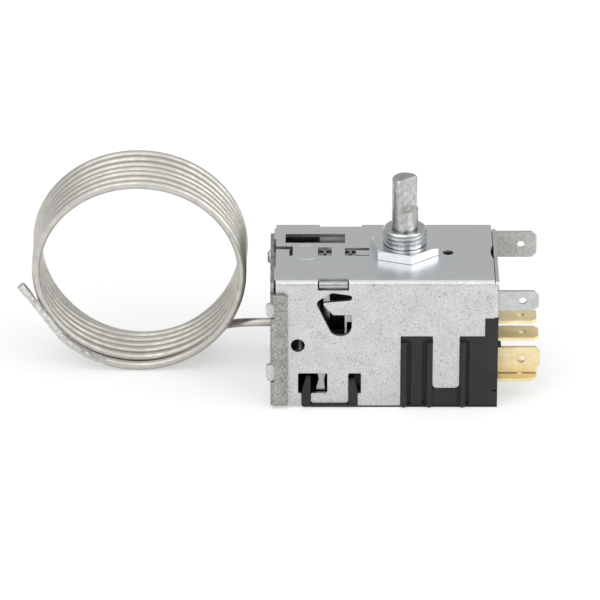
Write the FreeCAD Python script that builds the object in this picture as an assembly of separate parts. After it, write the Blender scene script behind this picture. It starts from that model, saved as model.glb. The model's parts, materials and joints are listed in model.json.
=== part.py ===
"""Capillary thermostat: folded steel housing, black switch base, threaded bushing with a flatted
spindle, blade terminals, and a metal capillary wound into an upright coil.

Millimetres. X runs to the right along the front panel, Y to the back, Z up. The origin is the point
of the base plane that lies on the spindle's axis.
"""
import FreeCAD
import Part
import math
import os
from FreeCAD import Vector

X_AXIS = Vector(1, 0, 0)
Y_AXIS = Vector(0, 1, 0)
Z_AXIS = Vector(0, 0, 1)

# Clearances
seat_gap = 0.05          # between pieces that are fixed to each other
running_gap = 0.05       # radial, pin or shaft in its hole
moving_gap = 0.3         # between pieces that move past each other

# Housing sheet
sheet = 0.8
body_left = 29.25        # spindle axis to the left edge of front and top
body_right = 21.0        # spindle axis to the outer face of the right flange
body_front = 16.7        # spindle axis to the front face
body_back = 14.45
body_height = 31.5
panel_lift = 0.4         # lower edge of the sheet above the base plane
bend_radius = 1.2        # outer radius of every fold of the housing
flange_gap = 1.0         # top panel's right edge to the outer face of the flange
flange_drop = 0.5        # top of the right flange below the top panel's outer face

# Openings of the front panel
fold_window_left = -19.8
fold_window_right = -12.8
fold_window_sill = body_height - 2.15
fold_window_depth = 2.05
round_hole_x = -24.3
round_hole_z = 15.55
round_hole_r = 1.6
drop_right = -12.13      # right side of the drop-shaped window
drop_top = body_height - 2.75
drop_bottom = body_height - 13.55
drop_lobe_r = 2.45
tongue_top = body_height - 4.65      # bent tongue that reaches into the drop-shaped window
tongue_bottom = body_height - 8.3

# Snap clip at the bottom left and the openings around it
clip_left = -23.4
clip_right = -10.8
clip_leg = 2.0
clip_left_height = 7.6
clip_right_height = 6.9
clip_bar = 0.9
clip_proud = 0.5
clip_gap = 0.1
clip_root = 0.4          # clip's legs behind the front panel
clip_window_sill = 3.5
clip_window_top = 8.55
clip_window_left = -24.25
clip_window_mid = -17.6  # right side of the wide left window
clip_window_right = -10.0

# Openings of the top panel
long_slot = (-27.1, -13.5, 3.8, 8.5)
corner_slot = (-29.5, -25.4, 0.4, 1.9)
corner_slot_leg = (-26.2, -25.4, -3.0, 0.9)
guide_slot_front = -3.0
guide_slot_back = 1.4
guide_slot_left = (-19.7, -16.6)
guide_slot_right = (-13.6, -11.1)
side_slot_end = -8.0
sight_hole_x = 9.8
sight_hole_y = -1.3
sight_hole_r = 1.25
emboss_height = 0.2
back_notch = (-19.2, -9.6)
back_notch_depth = 1.95
edge_tabs = ((-14.7, -9.0), (6.4, 11.4))   # left edge of the top where it meets the end plate

# Left end plate
end_sheet = 0.8
end_flange = 3.9         # width of the wrapped flanges
end_plate_top = body_height - 0.6
end_flange_top = end_plate_top - 2.4
end_plate_foot = 0.7
end_gap = 0.45           # end plate's inner face to the housing's left edge
lug_heights = ((body_height - 9.0, body_height - 5.6), (6.6, 10.7))
lug_reach = 1.0          # housing lugs beyond the end plate

# Switch base
base_floor = 1.6
base_wall_left = -1.0    # left face of the terminal block
leg_height = 17.8
leg_recess = 0.15        # legs' front face behind the front panel
leg_left = (-1.0, 6.1)
leg_right_edge = 12.3
bridge_height = 4.8
tower_left = 18.0
base_right = 20.9
chamber = (0.6, 17.0, -13.8, 10.5)
rib_places = (-0.3, 5.45, 12.97)
rib_r = 0.72
rib_top = 16.6
groove_places = ((0.5, 1.3), (3.85, 4.7), (13.75, 14.45))
groove_depth = 0.6
cover_thickness = 1.4

# Blade terminals
blade = 6.3
narrow_blade = 4.8
blade_thickness = 0.8
blade_chamfer = 1.1
blade_hole_r = 0.85
blade_hole_inset = 3.6
blade_centre_y = -10.45
lower_blade_z = 4.87
upright_gap = 0.23
upper_blade_z = 0.619 * body_height
middle_blade_z = 0.4825 * body_height
upright_top = lower_blade_z + blade_thickness + upright_gap + blade
block_height = middle_blade_z + blade_thickness + 0.2
tower_height = upper_blade_z + blade_thickness + 2.0
shelf_share = 0.47       # shelf's place between the upright and the middle blade
upper_blade_tip = 29.7
middle_blade_tip = 30.2
lower_blade_tip = 30.0
backing_blade_tip = 30.75
backing_blade = 5.6
rear_blade_tip = 30.6
rear_blade_top = body_height - 1.95
upright_corner = 0.2     # chamfer of the upright blade's tip
earth_tab_y = -14.4
earth_tab_foot_z = tower_height + 0.9
earth_tab_tip = 30.0
earth_tab_foot = 7.0

# Bushing, nut and spindle
thread_r = 5.0
bushing_height = 5.8     # above the top panel
bushing_chamfer = 0.45
root_gap = 0.15          # nut's top to the start of the full thread
spigot_r = 4.6           # through the panel and the nut
stake_r = 5.4
nut_flats = 14.0
nut_thickness = 2.1
nut_chamfer = 0.5
nut_turn = -80.0         # direction of one corner, degrees from +X
spindle_r = 3.0
journal_r = 2.7          # spindle inside the bushing
spindle_reach = 12.4     # above the bushing
flat_length = 7.7
flat_distance = 0.95     # spindle axis to the flat
flat_turn = -48.0        # direction that the flat faces, degrees from +X
collar_r = 4.0
collar_length = 2.9
neck_r = 2.5
stake_r_spindle = 3.4    # riveted end under the cam
stake_length = 0.7
washer_thickness = 0.8
washer_r = 4.8

# Snail cam and range slide
cam_mean_r = 6.5
cam_rise = 1.6           # over the spindle's whole turn
cam_turn = 280.0
cam_overrun = 14.0       # spiral beyond each end of the turn
cam_thickness = 1.9
cam_arcs = 8             # arcs that make up the spiral
slide_sheet = 0.8
slide_nose_width = 2.4
slide_lug = 0.6
slide_left = -25.5
slide_front = -2.4

# Bellows and main lever
bellows_y = 3.0
cup_r = 0.28 * body_height
cup_foot = base_floor + 1.35
bellows_z = cup_foot + cup_r
cup_depth = 7.5
cup_wall = 0.6
bellows_r = cup_r - 1.8
bellows_inner_r = bellows_r - 1.6
bellows_length = 9.8
bellows_wall = 0.35
convolutions = 3
pad_r = bellows_inner_r - 1.4
pad_stem_r = 1.6
lever_face = -9.0        # side of the lever that meets the thrust pad
lever_sheet = 0.8
lever_back = 7.0
lever_web_foot = 8.6
lever_web_top = bellows_z + 8.25
lever_side_top = bellows_z + 4.25
lever_pin_x = -6.6
lever_pin_z = 5.4
lever_pin_r = 1.0
lever_tilt = 2.0         # degrees each way
bracket_sheet = 0.8
bracket_side_gap = 1.1

# Range spring
spring_r = 1.9
spring_wire_r = 0.3
spring_turns = 8
spring_corners = 12      # straight stretches in one turn of the spring

# Inner frame under the top panel
frame_sheet = 0.7
barrel_r = 0.92
barrel_core_r = 0.25
barrel_y = -body_front + 1.12
barrel_z = body_height - 1.22
frame_right = -13.1
frame_leg = (-18.5, -17.1)   # downturned leg behind the drop-shaped window
frame_leg_y = -12.3
frame_leg_foot = body_height - 15.5
rivet_y = 5.5
rivet_z = body_height - 4.3
rivet_head_r = 1.65
rivet_r = 1.0

# Actuator and contacts
actuator_y = -12.3
actuator_z = block_height - 2.2
actuator_width = 2.4
actuator_height = 2.0
actuator_left = -13.7
finger_reach = 0.2      # lever's finger ends this far behind the actuator's middle
actuator_tab = 0.5
actuator_tab_top = drop_bottom + 3.65
actuator_head = 1.7
arm_x = 3.3
arm_thickness = 0.4
arm_width = 6.0
arm_knuckle_r = 0.6
contact_r = 1.5
contact_thickness = 1.0
contact_gap = 0.6
contact_leg = 5.0        # upper terminal's leg below the actuator's middle
middle_leg_inset = 3.0   # middle terminal's leg to the chamber's right wall
middle_leg = 4.0         # middle terminal's leg below its blade
screw_x = -24.0
screw_r = 1.25
screw_y = bellows_y - cup_r - screw_r - 1.53
lever_front = screw_y - 0.4
screw_tip = 9.7

# Capillary
tube_r = 1.0
coil_r = 23.5            # to the middle of the tube
coil_x = -60.5
coil_y = 1.7
coil_z = 24.5
coil_lean = 2.5          # degrees, top forward
coil_front = -1.6
coil_back = 15.5
coil_wall = 0.9          # half the thickness of the coil's outer shape
tip_r = 1.1
tip_length = 12.2
tip_angle = 57.0         # past the lowest point, where the straight tip leaves the coil

# Derived places
panel_inside = body_height - sheet
front_inside = -body_front + sheet
back_inside = body_back - sheet
end_inner = -body_left - end_gap
end_outer = end_inner - end_sheet
top_right = body_right - flange_gap
bushing_top = body_height + bushing_height
frame_back = back_inside - 1.7
earth_tab_top = earth_tab_foot_z + narrow_blade
frame_top = panel_inside - 2 * moving_gap - slide_sheet
frame_foot = frame_top - frame_sheet
spring_z = (bellows_z + cup_r + frame_foot) / 2
lever_top = spring_z + 1.2


def box(x0, x1, y0, y1, z0, z1):
    """Block between two values on each axis."""
    return Part.makeBox(x1 - x0, y1 - y0, z1 - z0, Vector(x0, y0, z0))


def rod(radius, start, direction, length):
    """Cylinder from a start point along a direction."""
    return Part.makeCylinder(radius, length, start, direction)


def outline(points, place):
    """Closed face from (u, v, corner radius) points; place maps u and v into space."""
    corners = [Vector(u, v, 0) for u, v, _ in points]
    count = len(points)
    stretches = []
    for i, (_, _, radius) in enumerate(points):
        corner = corners[i]
        to_last = (corners[i - 1] - corner).normalize()
        to_next = (corners[(i + 1) % count] - corner).normalize()
        if radius <= 0:
            stretches.append((corner, None, corner))
            continue
        half = to_last.getAngle(to_next) / 2
        reach = radius / math.tan(half)
        middle = (to_last + to_next).normalize() * (radius / math.sin(half) - radius)
        stretches.append((corner + to_last * reach, corner + middle, corner + to_next * reach))
    edges = []
    for i, (start, middle, end) in enumerate(stretches):
        if middle is not None:
            edges.append(Part.Arc(place(start), place(middle), place(end)).toShape())
        following = stretches[(i + 1) % count][0]
        if (following - end).Length > 1e-6:
            edges.append(Part.LineSegment(place(end), place(following)).toShape())
    return Part.Face(Part.Wire(edges))


def plate_xz(points, y0, y1):
    """Plate with an outline in X and Z, between two values of Y."""
    return outline(points, lambda p: Vector(p.x, y0, p.y)).extrude(Vector(0, y1 - y0, 0))


def plate_xy(points, z0, z1):
    """Plate with an outline in X and Y, between two values of Z."""
    return outline(points, lambda p: Vector(p.x, p.y, z0)).extrude(Vector(0, 0, z1 - z0))


def plate_yz(points, x0, x1):
    """Plate with an outline in Y and Z, between two values of X."""
    return outline(points, lambda p: Vector(x0, p.x, p.y)).extrude(Vector(x1 - x0, 0, 0))


def fuse(shapes):
    """One solid from several that touch."""
    return shapes[0].multiFuse(shapes[1:]).removeSplitter()


def flat_blade(root, tip, z, width=blade):
    """Blade terminal lying flat, with chamfered tip and hole."""
    front = blade_centre_y - width / 2
    back = blade_centre_y + width / 2
    points = [(root, front, 0), (tip - blade_chamfer, front, 0), (tip, front + blade_chamfer, 0),
              (tip, back - blade_chamfer, 0), (tip - blade_chamfer, back, 0), (root, back, 0)]
    hole = rod(blade_hole_r, Vector(tip - blade_hole_inset, blade_centre_y, z - 1), Z_AXIS, 3)
    return plate_xy(points, z, z + blade_thickness).cut(hole)


def upright_blade(root, tip, y, foot, width, chamfer=blade_chamfer):
    """Blade terminal standing on edge, with chamfered tip and hole."""
    top = foot + width
    points = [(root, foot, 0), (tip - chamfer, foot, 0), (tip, foot + chamfer, 0),
              (tip, top - chamfer, 0), (tip - chamfer, top, 0), (root, top, 0)]
    middle = Vector(tip - blade_hole_inset, y - 1, foot + width / 2)
    hole = rod(blade_hole_r, middle, Y_AXIS, 3)
    return plate_xz(points, y, y + blade_thickness).cut(hole)


def front_cutter(points):
    """Cutter for an opening of the front panel."""
    return plate_xz(points, -body_front - 1, front_inside + 0.2)


def top_cutter(x0, x1, y0, y1):
    """Cutter for a slot of the top panel."""
    return box(x0, x1, y0, y1, panel_inside - 0.2, body_height + 1)


def drop_window():
    """Drop-shaped window of the front panel, around its tongue."""
    slot_r = 0.55
    return front_cutter([
        (drop_right + 0.03, drop_top - 0.7, slot_r), (drop_right + 0.03, tongue_top, slot_r),
        (-18.9, tongue_top - 0.65, 0.4), (-16.3, tongue_bottom, 0.2), (drop_right, tongue_bottom, 0),
        (drop_right, drop_bottom, drop_lobe_r), (-16.46, drop_bottom, drop_lobe_r),
        (-20.35, tongue_top - 0.45, 1.2), (-16.54, drop_top, 0.8)])


def clip_openings():
    """Openings of the front panel that the snap clip stands in."""
    left = clip_left - clip_gap
    right = clip_right + clip_gap
    inner_left = clip_left + clip_leg + clip_gap
    inner_right = clip_right - clip_leg - clip_gap
    tongue_foot = clip_bar + clip_gap
    corner = 0.7
    return front_cutter([
        (left, -1, 0), (right, -1, 0), (right, clip_window_sill, 0.2),
        (clip_window_right, clip_window_sill, 0.2), (clip_window_right, clip_window_top, 0.3),
        (inner_right, clip_window_top, 0.3), (inner_right, tongue_foot, corner),
        (inner_left, tongue_foot, corner), (inner_left, clip_window_sill, 0.3),
        (clip_window_mid, clip_window_sill, 0.5), (clip_window_mid, clip_window_top, 0.3),
        (clip_window_left, clip_window_top, 0.3), (clip_window_left, clip_window_sill, 0.2),
        (left, clip_window_sill, 0.2)])


def leg_openings():
    """Openings of the front panel that the legs of the switch base stand in."""
    gap = clip_gap
    left, inner_left = leg_left[0] - gap, leg_left[1] + gap
    inner_right = leg_right_edge - gap
    return front_cutter([
        (left, -1, 0), (body_right + 1, -1, 0), (body_right + 1, tower_height + gap, 0),
        (tower_left - gap, tower_height + gap, 0.2), (tower_left - gap, leg_height + gap, 0.1),
        (inner_right, leg_height + gap, 0.3), (inner_right, bridge_height + gap, 0.9),
        (inner_left, bridge_height + gap, 0.9), (inner_left, leg_height + gap, 0.3),
        (left, leg_height + gap, 0.2)])


def make_housing():
    """Front, top, back, right flange and rear earth blade, folded from one sheet."""
    inner_bend = bend_radius - sheet
    section = [
        (-body_front, panel_lift, 0), (-body_front, body_height, bend_radius),
        (body_back, body_height, bend_radius), (body_back, panel_lift, 0),
        (back_inside, panel_lift, 0), (back_inside, panel_inside, inner_bend),
        (front_inside, panel_inside, inner_bend), (front_inside, panel_lift, 0)]
    shell = plate_yz(section, -body_left, top_right)
    flange_top = body_height - flange_drop
    flange_foot = tower_height + 2 * clip_gap
    flange = plate_xy([
        (top_right - 0.5, -body_front, 0), (body_right, -body_front, bend_radius),
        (body_right, back_inside - 0.2, 0), (body_right - sheet, back_inside - 0.2, 0),
        (body_right - sheet, front_inside, inner_bend), (top_right - 0.5, front_inside, 0)],
        flange_foot, flange_top)
    shoulder = 1.5
    end_corner = box(body_right - 2, body_right + 1, back_inside - 0.2 - shoulder, body_back,
                     flange_top - shoulder, flange_top + 1)
    rounding = rod(shoulder, Vector(body_right - 2, back_inside - 0.2 - shoulder, flange_top - shoulder),
                   X_AXIS, 3)
    flange = flange.cut(end_corner.cut(rounding))
    flange = flange.cut(plate_yz([
        (-body_front - 1, flange_top - 0.7, 0), (-body_front + 0.7, flange_top - 0.7, 0),
        (-body_front + 1.9, flange_top + 1, 0), (-body_front - 1, flange_top + 1, 0)],
        top_right - 1, body_right + 1))
    rear_blade = upright_blade(top_right - 1, rear_blade_tip, back_inside, rear_blade_top - blade, blade)
    lugs = [plate_xz([(-body_left + 0.5, low, 0), (-body_left + 0.5, high, 0),
                      (end_outer - lug_reach, high, 0.8), (end_outer - lug_reach, low, 1.2)],
                     -body_front, front_inside) for low, high in lug_heights]
    emboss = [(-25.0, -5.0, 2.6), (-25.0, 3.3, 2.6), (-19.8, 3.3, 2.6), (-19.8, -5.0, 2.6)]
    rim = plate_xy(emboss, body_height - 0.1, body_height + emboss_height)
    rim = rim.cut(plate_xy([(-24.3, -4.3, 1.9), (-24.3, 2.6, 1.9), (-20.5, 2.6, 1.9), (-20.5, -4.3, 1.9)],
                           body_height - 0.2, body_height + 1))
    tabs = [box(end_inner + seat_gap, -body_left + 0.5, low, high, panel_inside, body_height)
            for low, high in edge_tabs]
    solid = fuse([shell, flange, rear_blade, rim] + lugs + tabs)
    relief_r = 12.0
    relief_y = -1.0
    relief_depth = 0.55
    relief_half = 8.0
    relief_centre = top_right - relief_depth + relief_r
    edge_relief = rod(relief_r, Vector(relief_centre, relief_y, panel_inside - 0.2), Z_AXIS, 2)
    edge_relief = edge_relief.common(top_cutter(top_right - 2, top_right + 0.3, relief_y - relief_half,
                                                relief_y + relief_half))
    cutters = [
        box(fold_window_left, fold_window_right, -body_front - 1, -body_front + fold_window_depth,
            fold_window_sill, body_height + 1),
        rod(round_hole_r, Vector(round_hole_x, -body_front - 1, round_hole_z), Y_AXIS, 3),
        drop_window(), clip_openings(), leg_openings(),
        top_cutter(*long_slot), top_cutter(*corner_slot), top_cutter(*corner_slot_leg),
        top_cutter(*guide_slot_left, guide_slot_front, guide_slot_back),
        top_cutter(*guide_slot_right, guide_slot_front, guide_slot_back - 0.3),
        top_cutter(guide_slot_right[1] - 0.1, side_slot_end, -0.2, guide_slot_back - 0.3),
        top_cutter(guide_slot_right[1] - 0.1, side_slot_end, guide_slot_front, guide_slot_front + 0.4),
        rod(sight_hole_r, Vector(sight_hole_x, sight_hole_y, panel_inside - 1), Z_AXIS, 3),
        rod(spigot_r + seat_gap, Vector(0, 0, panel_inside - 1), Z_AXIS, 3),
        box(*back_notch, body_back - back_notch_depth, body_back + 1, body_height - 1.6, body_height + 1),
        earth_tab_slot(), edge_relief]
    return solid.cut(Part.makeCompound(cutters))


def earth_tab_slot():
    """Slot of the right flange that the front earth tab passes through."""
    return box(body_right - 2, body_right + 1, earth_tab_y - seat_gap,
               earth_tab_y + blade_thickness + seat_gap,
               earth_tab_foot_z - seat_gap, earth_tab_top + seat_gap)


def make_end_plate():
    """Left end with flanges wrapped over the front and back panels."""
    front = -body_front - seat_gap
    back = body_back + seat_gap
    edge = end_outer + end_flange
    outer_bend = 1.0
    inner_bend = outer_bend - end_sheet
    wrap = plate_xy([
        (edge, front - end_sheet, 0), (end_outer, front - end_sheet, outer_bend),
        (end_outer, back + end_sheet, outer_bend), (edge, back + end_sheet, 0), (edge, back, 0),
        (end_inner, back, inner_bend), (end_inner, front, inner_bend), (edge, front, 0)],
        end_plate_foot, end_plate_top)
    trim_depth = front + 1.3
    trims = [
        box(end_inner + 0.3, edge + 1, front - 2, trim_depth, end_flange_top, end_plate_top + 1),
        box(end_inner + 0.3, edge + 1, back - 1, back + 2, end_flange_top, end_plate_top + 1),
        box(end_outer - 1, edge + 1, front - 2, front + 0.6, end_flange_top, end_plate_top + 1),
        box(end_outer - 1, edge + 1, 10.2, back + 2, end_flange_top, end_plate_top + 1)]
    corner_r = 0.9
    for low in (front - end_sheet - 0.5, back - 0.5):
        square = box(edge - corner_r, edge + 1, low, low + end_sheet + 1, end_flange_top - corner_r,
                     end_flange_top + 1)
        trims.append(square.cut(rod(corner_r, Vector(edge - corner_r, low, end_flange_top - corner_r),
                                    Y_AXIS, end_sheet + 1)))
    for low, high in lug_heights:
        trims.append(box(end_outer - 1, end_inner + 0.1, front - end_sheet - 1, front_inside + seat_gap,
                         low - clip_gap, high + clip_gap))
    trims.append(rod(tube_r + seat_gap, Vector(end_outer - 1, bellows_y, bellows_z), X_AXIS, 3))
    trims.append(rod(rivet_r + seat_gap, Vector(end_outer - 1, rivet_y, rivet_z), X_AXIS, 3))
    return wrap.cut(Part.makeCompound(trims))


def make_switch_base():
    """Black moulding: floor, snap clip, front legs with ribs, contact chamber and terminal wall."""
    gap = clip_gap
    front = -body_front + leg_recess
    inner_front = front_inside + gap
    inner_back = back_inside - gap
    ledge = panel_lift - seat_gap
    blocks = [
        box(-body_left + gap, base_right, inner_front, inner_back, 0, base_floor),
        box(clip_left, base_right, -body_front, inner_front, 0, ledge),
        box(clip_left, clip_right, -body_front - clip_proud, inner_front, 0, clip_bar),
        box(base_wall_left, base_right, inner_front, inner_back, 0, block_height),
        box(tower_left, base_right, front, inner_back, 0, tower_height),
        box(leg_right_edge, base_right, front, inner_front, 0, leg_height),
        box(*leg_left, front, inner_front, 0, leg_height),
        box(leg_left[1], leg_right_edge, front, inner_front, 0, bridge_height)]
    leg_front = -body_front - clip_proud
    for left, height in ((clip_left, clip_left_height), (clip_right - clip_leg, clip_right_height)):
        blocks.append(plate_yz([(leg_front, 0, 0), (leg_front, height - 0.8, 0.4),
                                (inner_front - 0.2, height, 0.3), (inner_front + clip_root, height, 0.3),
                                (inner_front + clip_root, 0, 0)], left, left + clip_leg))
    for place in rib_places:
        blocks.append(rod(rib_r, Vector(place, front - 0.35, rib_r), Z_AXIS, rib_top - rib_r))
        blocks.append(Part.makeSphere(rib_r, Vector(place, front - 0.35, rib_r)))
    shelf_z = upright_top + shelf_share * (middle_blade_z - upright_top)
    blocks.append(box(base_right - 0.5, base_right + 0.8, blade_centre_y - 3.3, blade_centre_y + 3.3,
                      shelf_z, shelf_z + 0.6))
    solid = fuse(blocks)
    x0, x1, y0, y1 = chamber
    cutters = [box(x0, x1, y0, y1, base_floor, block_height + 1)]
    for left, right in groove_places:
        cutters.append(box(left, right, front - 2, front + groove_depth, 0.6, rib_top))
    cutters.append(box(base_right - 1.1, base_right + 1, front - 1, front + 2, 3.9, 4.3))
    cutters.append(terminal_room(upper_blade_z, x1))
    cutters.append(terminal_room(middle_blade_z, x1))
    cutters.append(terminal_room(lower_blade_z, x1))
    foot = lower_blade_z + blade_thickness + upright_gap
    upright_y = blade_centre_y - blade_thickness / 2
    cutters.append(box(x1 - 1, base_right + 1, upright_y - seat_gap,
                       upright_y + 2 * blade_thickness + 2 * seat_gap, foot - seat_gap,
                       foot + blade + seat_gap))
    half_width = actuator_width / 2 + moving_gap
    half_height = actuator_height / 2 + moving_gap
    cutters.append(box(base_wall_left - 1, x0 + 1, actuator_y - half_width, actuator_y + half_width,
                       actuator_z - half_height, actuator_z + half_height))
    return solid.cut(Part.makeCompound(cutters))


def terminal_room(z, chamber_right):
    """Slot of the terminal wall for a blade that lies flat."""
    half = blade / 2 + seat_gap
    return box(chamber_right - 1, base_right + 1, blade_centre_y - half, blade_centre_y + half,
               z - seat_gap, z + blade_thickness + seat_gap)


def make_switch_cover():
    """Lid of the contact chamber, with a slot for the upper terminal's leg."""
    gap = clip_gap
    foot = block_height + seat_gap
    lid = box(base_wall_left, tower_left - gap, front_inside + gap, back_inside - gap, foot,
              foot + cover_thickness)
    leg_left_x = fixed_contact_x() + contact_thickness
    half = blade / 2 + seat_gap
    slot = box(leg_left_x - seat_gap, leg_left_x + blade_thickness + seat_gap, blade_centre_y - half,
               blade_centre_y + half, foot - 1, foot + cover_thickness + 1)
    return lid.cut(slot)


def fixed_contact_x():
    """Left face of the fixed contact."""
    return arm_x + arm_thickness + contact_thickness + contact_gap


def make_upper_terminal():
    """Flat blade with a leg that hangs into the chamber and holds the fixed contact."""
    leg_x = fixed_contact_x() + contact_thickness
    flat = flat_blade(leg_x, upper_blade_tip, upper_blade_z)
    leg = box(leg_x, leg_x + blade_thickness, blade_centre_y - blade / 2, blade_centre_y + blade / 2,
              actuator_z - contact_leg, upper_blade_z + blade_thickness)
    return fuse([flat, leg])


def make_middle_terminal():
    """Flat blade of the second contact, ending in the chamber."""
    root = chamber[1] - middle_leg_inset
    flat = flat_blade(root, middle_blade_tip, middle_blade_z)
    leg = box(root, root + blade_thickness, blade_centre_y - blade / 2, blade_centre_y + blade / 2,
              middle_blade_z - middle_leg, middle_blade_z + blade_thickness)
    return fuse([flat, leg])


def make_lower_terminal():
    """Flat blade of the common pole, reaching the knuckle of the contact arm."""
    root = arm_x + arm_thickness / 2 + arm_knuckle_r + moving_gap
    return flat_blade(root, lower_blade_tip, lower_blade_z)


def make_upright_terminal():
    """Blade on edge above the lower terminal."""
    foot = lower_blade_z + blade_thickness + upright_gap
    return upright_blade(chamber[1] - 0.5, lower_blade_tip, blade_centre_y - blade_thickness / 2,
                         foot, blade, upright_corner)


def make_backing_terminal():
    """Narrower blade that backs the upright one."""
    foot = lower_blade_z + blade_thickness + 2 * upright_gap
    y = blade_centre_y + blade_thickness / 2 + seat_gap
    return upright_blade(chamber[1] - 0.5, backing_blade_tip, y, foot, backing_blade)


def make_earth_tab():
    """Narrow blade through the right flange, with a foot welded inside it."""
    wall = body_right - sheet - seat_gap
    tab = upright_blade(wall - blade_thickness, earth_tab_tip, earth_tab_y, earth_tab_foot_z, narrow_blade)
    foot = box(wall - blade_thickness, wall, earth_tab_y, earth_tab_y + earth_tab_foot,
               earth_tab_foot_z, earth_tab_top)
    return fuse([tab, foot])


def make_bushing():
    """Threaded bushing with a chamber for the spindle's collar."""
    thread_foot = body_height + seat_gap + nut_thickness + root_gap
    body = rod(thread_r, Vector(0, 0, thread_foot), Z_AXIS, bushing_top - thread_foot)
    top_edges = [edge for edge in body.Edges if abs(edge.BoundBox.ZMin - bushing_top) < 1e-6]
    body = body.makeChamfer(bushing_chamfer, [edge for edge in top_edges if len(edge.Vertexes) == 1])
    spigot_foot = panel_inside - seat_gap
    spigot = rod(spigot_r, Vector(0, 0, spigot_foot), Z_AXIS, thread_foot - spigot_foot)
    stake = rod(stake_r, Vector(0, 0, panel_inside - seat_gap - sheet), Z_AXIS, sheet)
    solid = fuse([body, spigot, stake])
    foot = panel_inside - seat_gap - sheet
    chamber_height = collar_length + 2 * moving_gap
    bore = rod(journal_r + running_gap, Vector(0, 0, foot - 1), Z_AXIS, 20)
    room = rod(collar_r + running_gap, Vector(0, 0, foot - 1), Z_AXIS, 1 + chamber_height)
    return solid.cut(fuse([bore, room]))


def make_nut():
    """Thin hexagon nut with a chamfered top."""
    corner_r = nut_flats / 2 / math.cos(math.radians(30))
    points = []
    for i in range(6):
        turn = math.radians(nut_turn + 60 * i)
        points.append((corner_r * math.cos(turn), corner_r * math.sin(turn), 0))
    foot = body_height + seat_gap
    hexagon = plate_xy(points, foot, foot + nut_thickness)
    lathe = Part.makeCone(corner_r + nut_thickness / math.tan(math.radians(30)) - nut_chamfer,
                          corner_r - nut_chamfer / math.tan(math.radians(30)), nut_thickness,
                          Vector(0, 0, foot), Z_AXIS)
    bore = rod(spigot_r + seat_gap, Vector(0, 0, foot - 1), Z_AXIS, nut_thickness + 2)
    return hexagon.common(lathe).cut(bore)


def stake_foot():
    """Height of the bushing's lower face."""
    return panel_inside - seat_gap - sheet


def make_spindle():
    """Spindle with collar, neck for the cam and a long flat."""
    collar_foot = stake_foot() + moving_gap
    top = bushing_top + spindle_reach
    journal_top = bushing_top + moving_gap
    journal = rod(journal_r, Vector(0, 0, collar_foot), Z_AXIS, journal_top - collar_foot)
    shaft = rod(spindle_r, Vector(0, 0, journal_top), Z_AXIS, top - journal_top)
    collar = rod(collar_r, Vector(0, 0, collar_foot), Z_AXIS, collar_length)
    cam_foot = cam_top() - cam_thickness
    foot = cam_foot - stake_length
    neck = rod(neck_r, Vector(0, 0, foot), Z_AXIS, collar_foot - foot)
    stake = rod(stake_r_spindle, Vector(0, 0, foot), Z_AXIS, stake_length)
    solid = fuse([shaft, journal, collar, neck, stake])
    rims = [edge for edge in solid.Edges if abs(edge.BoundBox.ZMin - top) < 1e-6]
    solid = solid.makeChamfer(0.35, rims)
    cutter = box(flat_distance, 10, -10, 10, top - flat_length, top + 1)
    cutter.rotate(Vector(0, 0, 0), Z_AXIS, flat_turn)
    return solid.cut(cutter)


def cam_top():
    """Upper face of the cam."""
    return stake_foot() - washer_thickness - moving_gap


def make_spindle_washer():
    """Ring staked under the bushing that keeps the spindle's collar in."""
    foot = stake_foot() - washer_thickness
    ring = rod(washer_r, Vector(0, 0, foot), Z_AXIS, washer_thickness)
    return ring.cut(rod(neck_r + running_gap, Vector(0, 0, foot - 1), Z_AXIS, washer_thickness + 2))


def make_cam():
    """Snail cam: its radius grows evenly round the spindle, then falls back."""
    half_turn = cam_turn / 2 + cam_overrun
    slope = cam_rise / cam_turn
    foot = cam_top() - cam_thickness
    points = []
    for i in range(2 * cam_arcs + 1):
        turn = half_turn * (i / cam_arcs - 1)
        radius = cam_mean_r + slope * turn
        angle = math.radians(180 + turn)
        points.append(Vector(radius * math.cos(angle), radius * math.sin(angle), foot))
    edges = [Part.Arc(*points[i:i + 3]).toShape() for i in range(0, 2 * cam_arcs, 2)]
    edges.append(Part.LineSegment(points[-1], points[0]).toShape())
    face = Part.Face(Part.Wire(edges))
    disc = face.extrude(Vector(0, 0, cam_thickness))
    return disc.cut(rod(neck_r + 0.01, Vector(0, 0, foot - 1), Z_AXIS, cam_thickness + 2))


def slide_top():
    """Upper face of the range slide."""
    return panel_inside - moving_gap


def make_range_slide():
    """Plate under the top panel: nose on the cam, lugs in the guide slots, hook for the spring."""
    top = slide_top()
    foot = top - slide_sheet
    nose_x = -cam_mean_r - moving_gap
    nose_foot = cam_top() - cam_thickness - 0.2
    hook_half = 1.5
    hook_foot = spring_z - 1.5
    plate = box(slide_left, nose_x, slide_front, bellows_y + hook_half, foot, top)
    plate = plate.cut(box(guide_slot_right[0], nose_x + 1, slide_nose_width / 2, 20, foot - 1, top + 1))
    plate = plate.cut(box(guide_slot_right[0], nose_x + 1, -20, -slide_nose_width / 2, foot - 1, top + 1))
    nose = box(nose_x - slide_sheet, nose_x, -slide_nose_width / 2, slide_nose_width / 2, nose_foot, top)
    hook = box(slide_left, slide_left + slide_sheet, bellows_y - hook_half, bellows_y + hook_half,
               hook_foot, top)
    hole = rod(spring_wire_r + 0.3, Vector(slide_left - 1, bellows_y, spring_z), X_AXIS, 3)
    lugs = []
    lug_top = body_height - 0.3
    for left, right in (guide_slot_left, guide_slot_right):
        middle = (left + right) / 2
        lugs.append(box(middle - slide_lug / 2, middle + slide_lug / 2, -slide_nose_width / 2,
                        slide_nose_width / 2 - 0.4, top - 0.1, lug_top))
    return fuse([plate, nose, hook.cut(hole)] + lugs)


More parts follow.
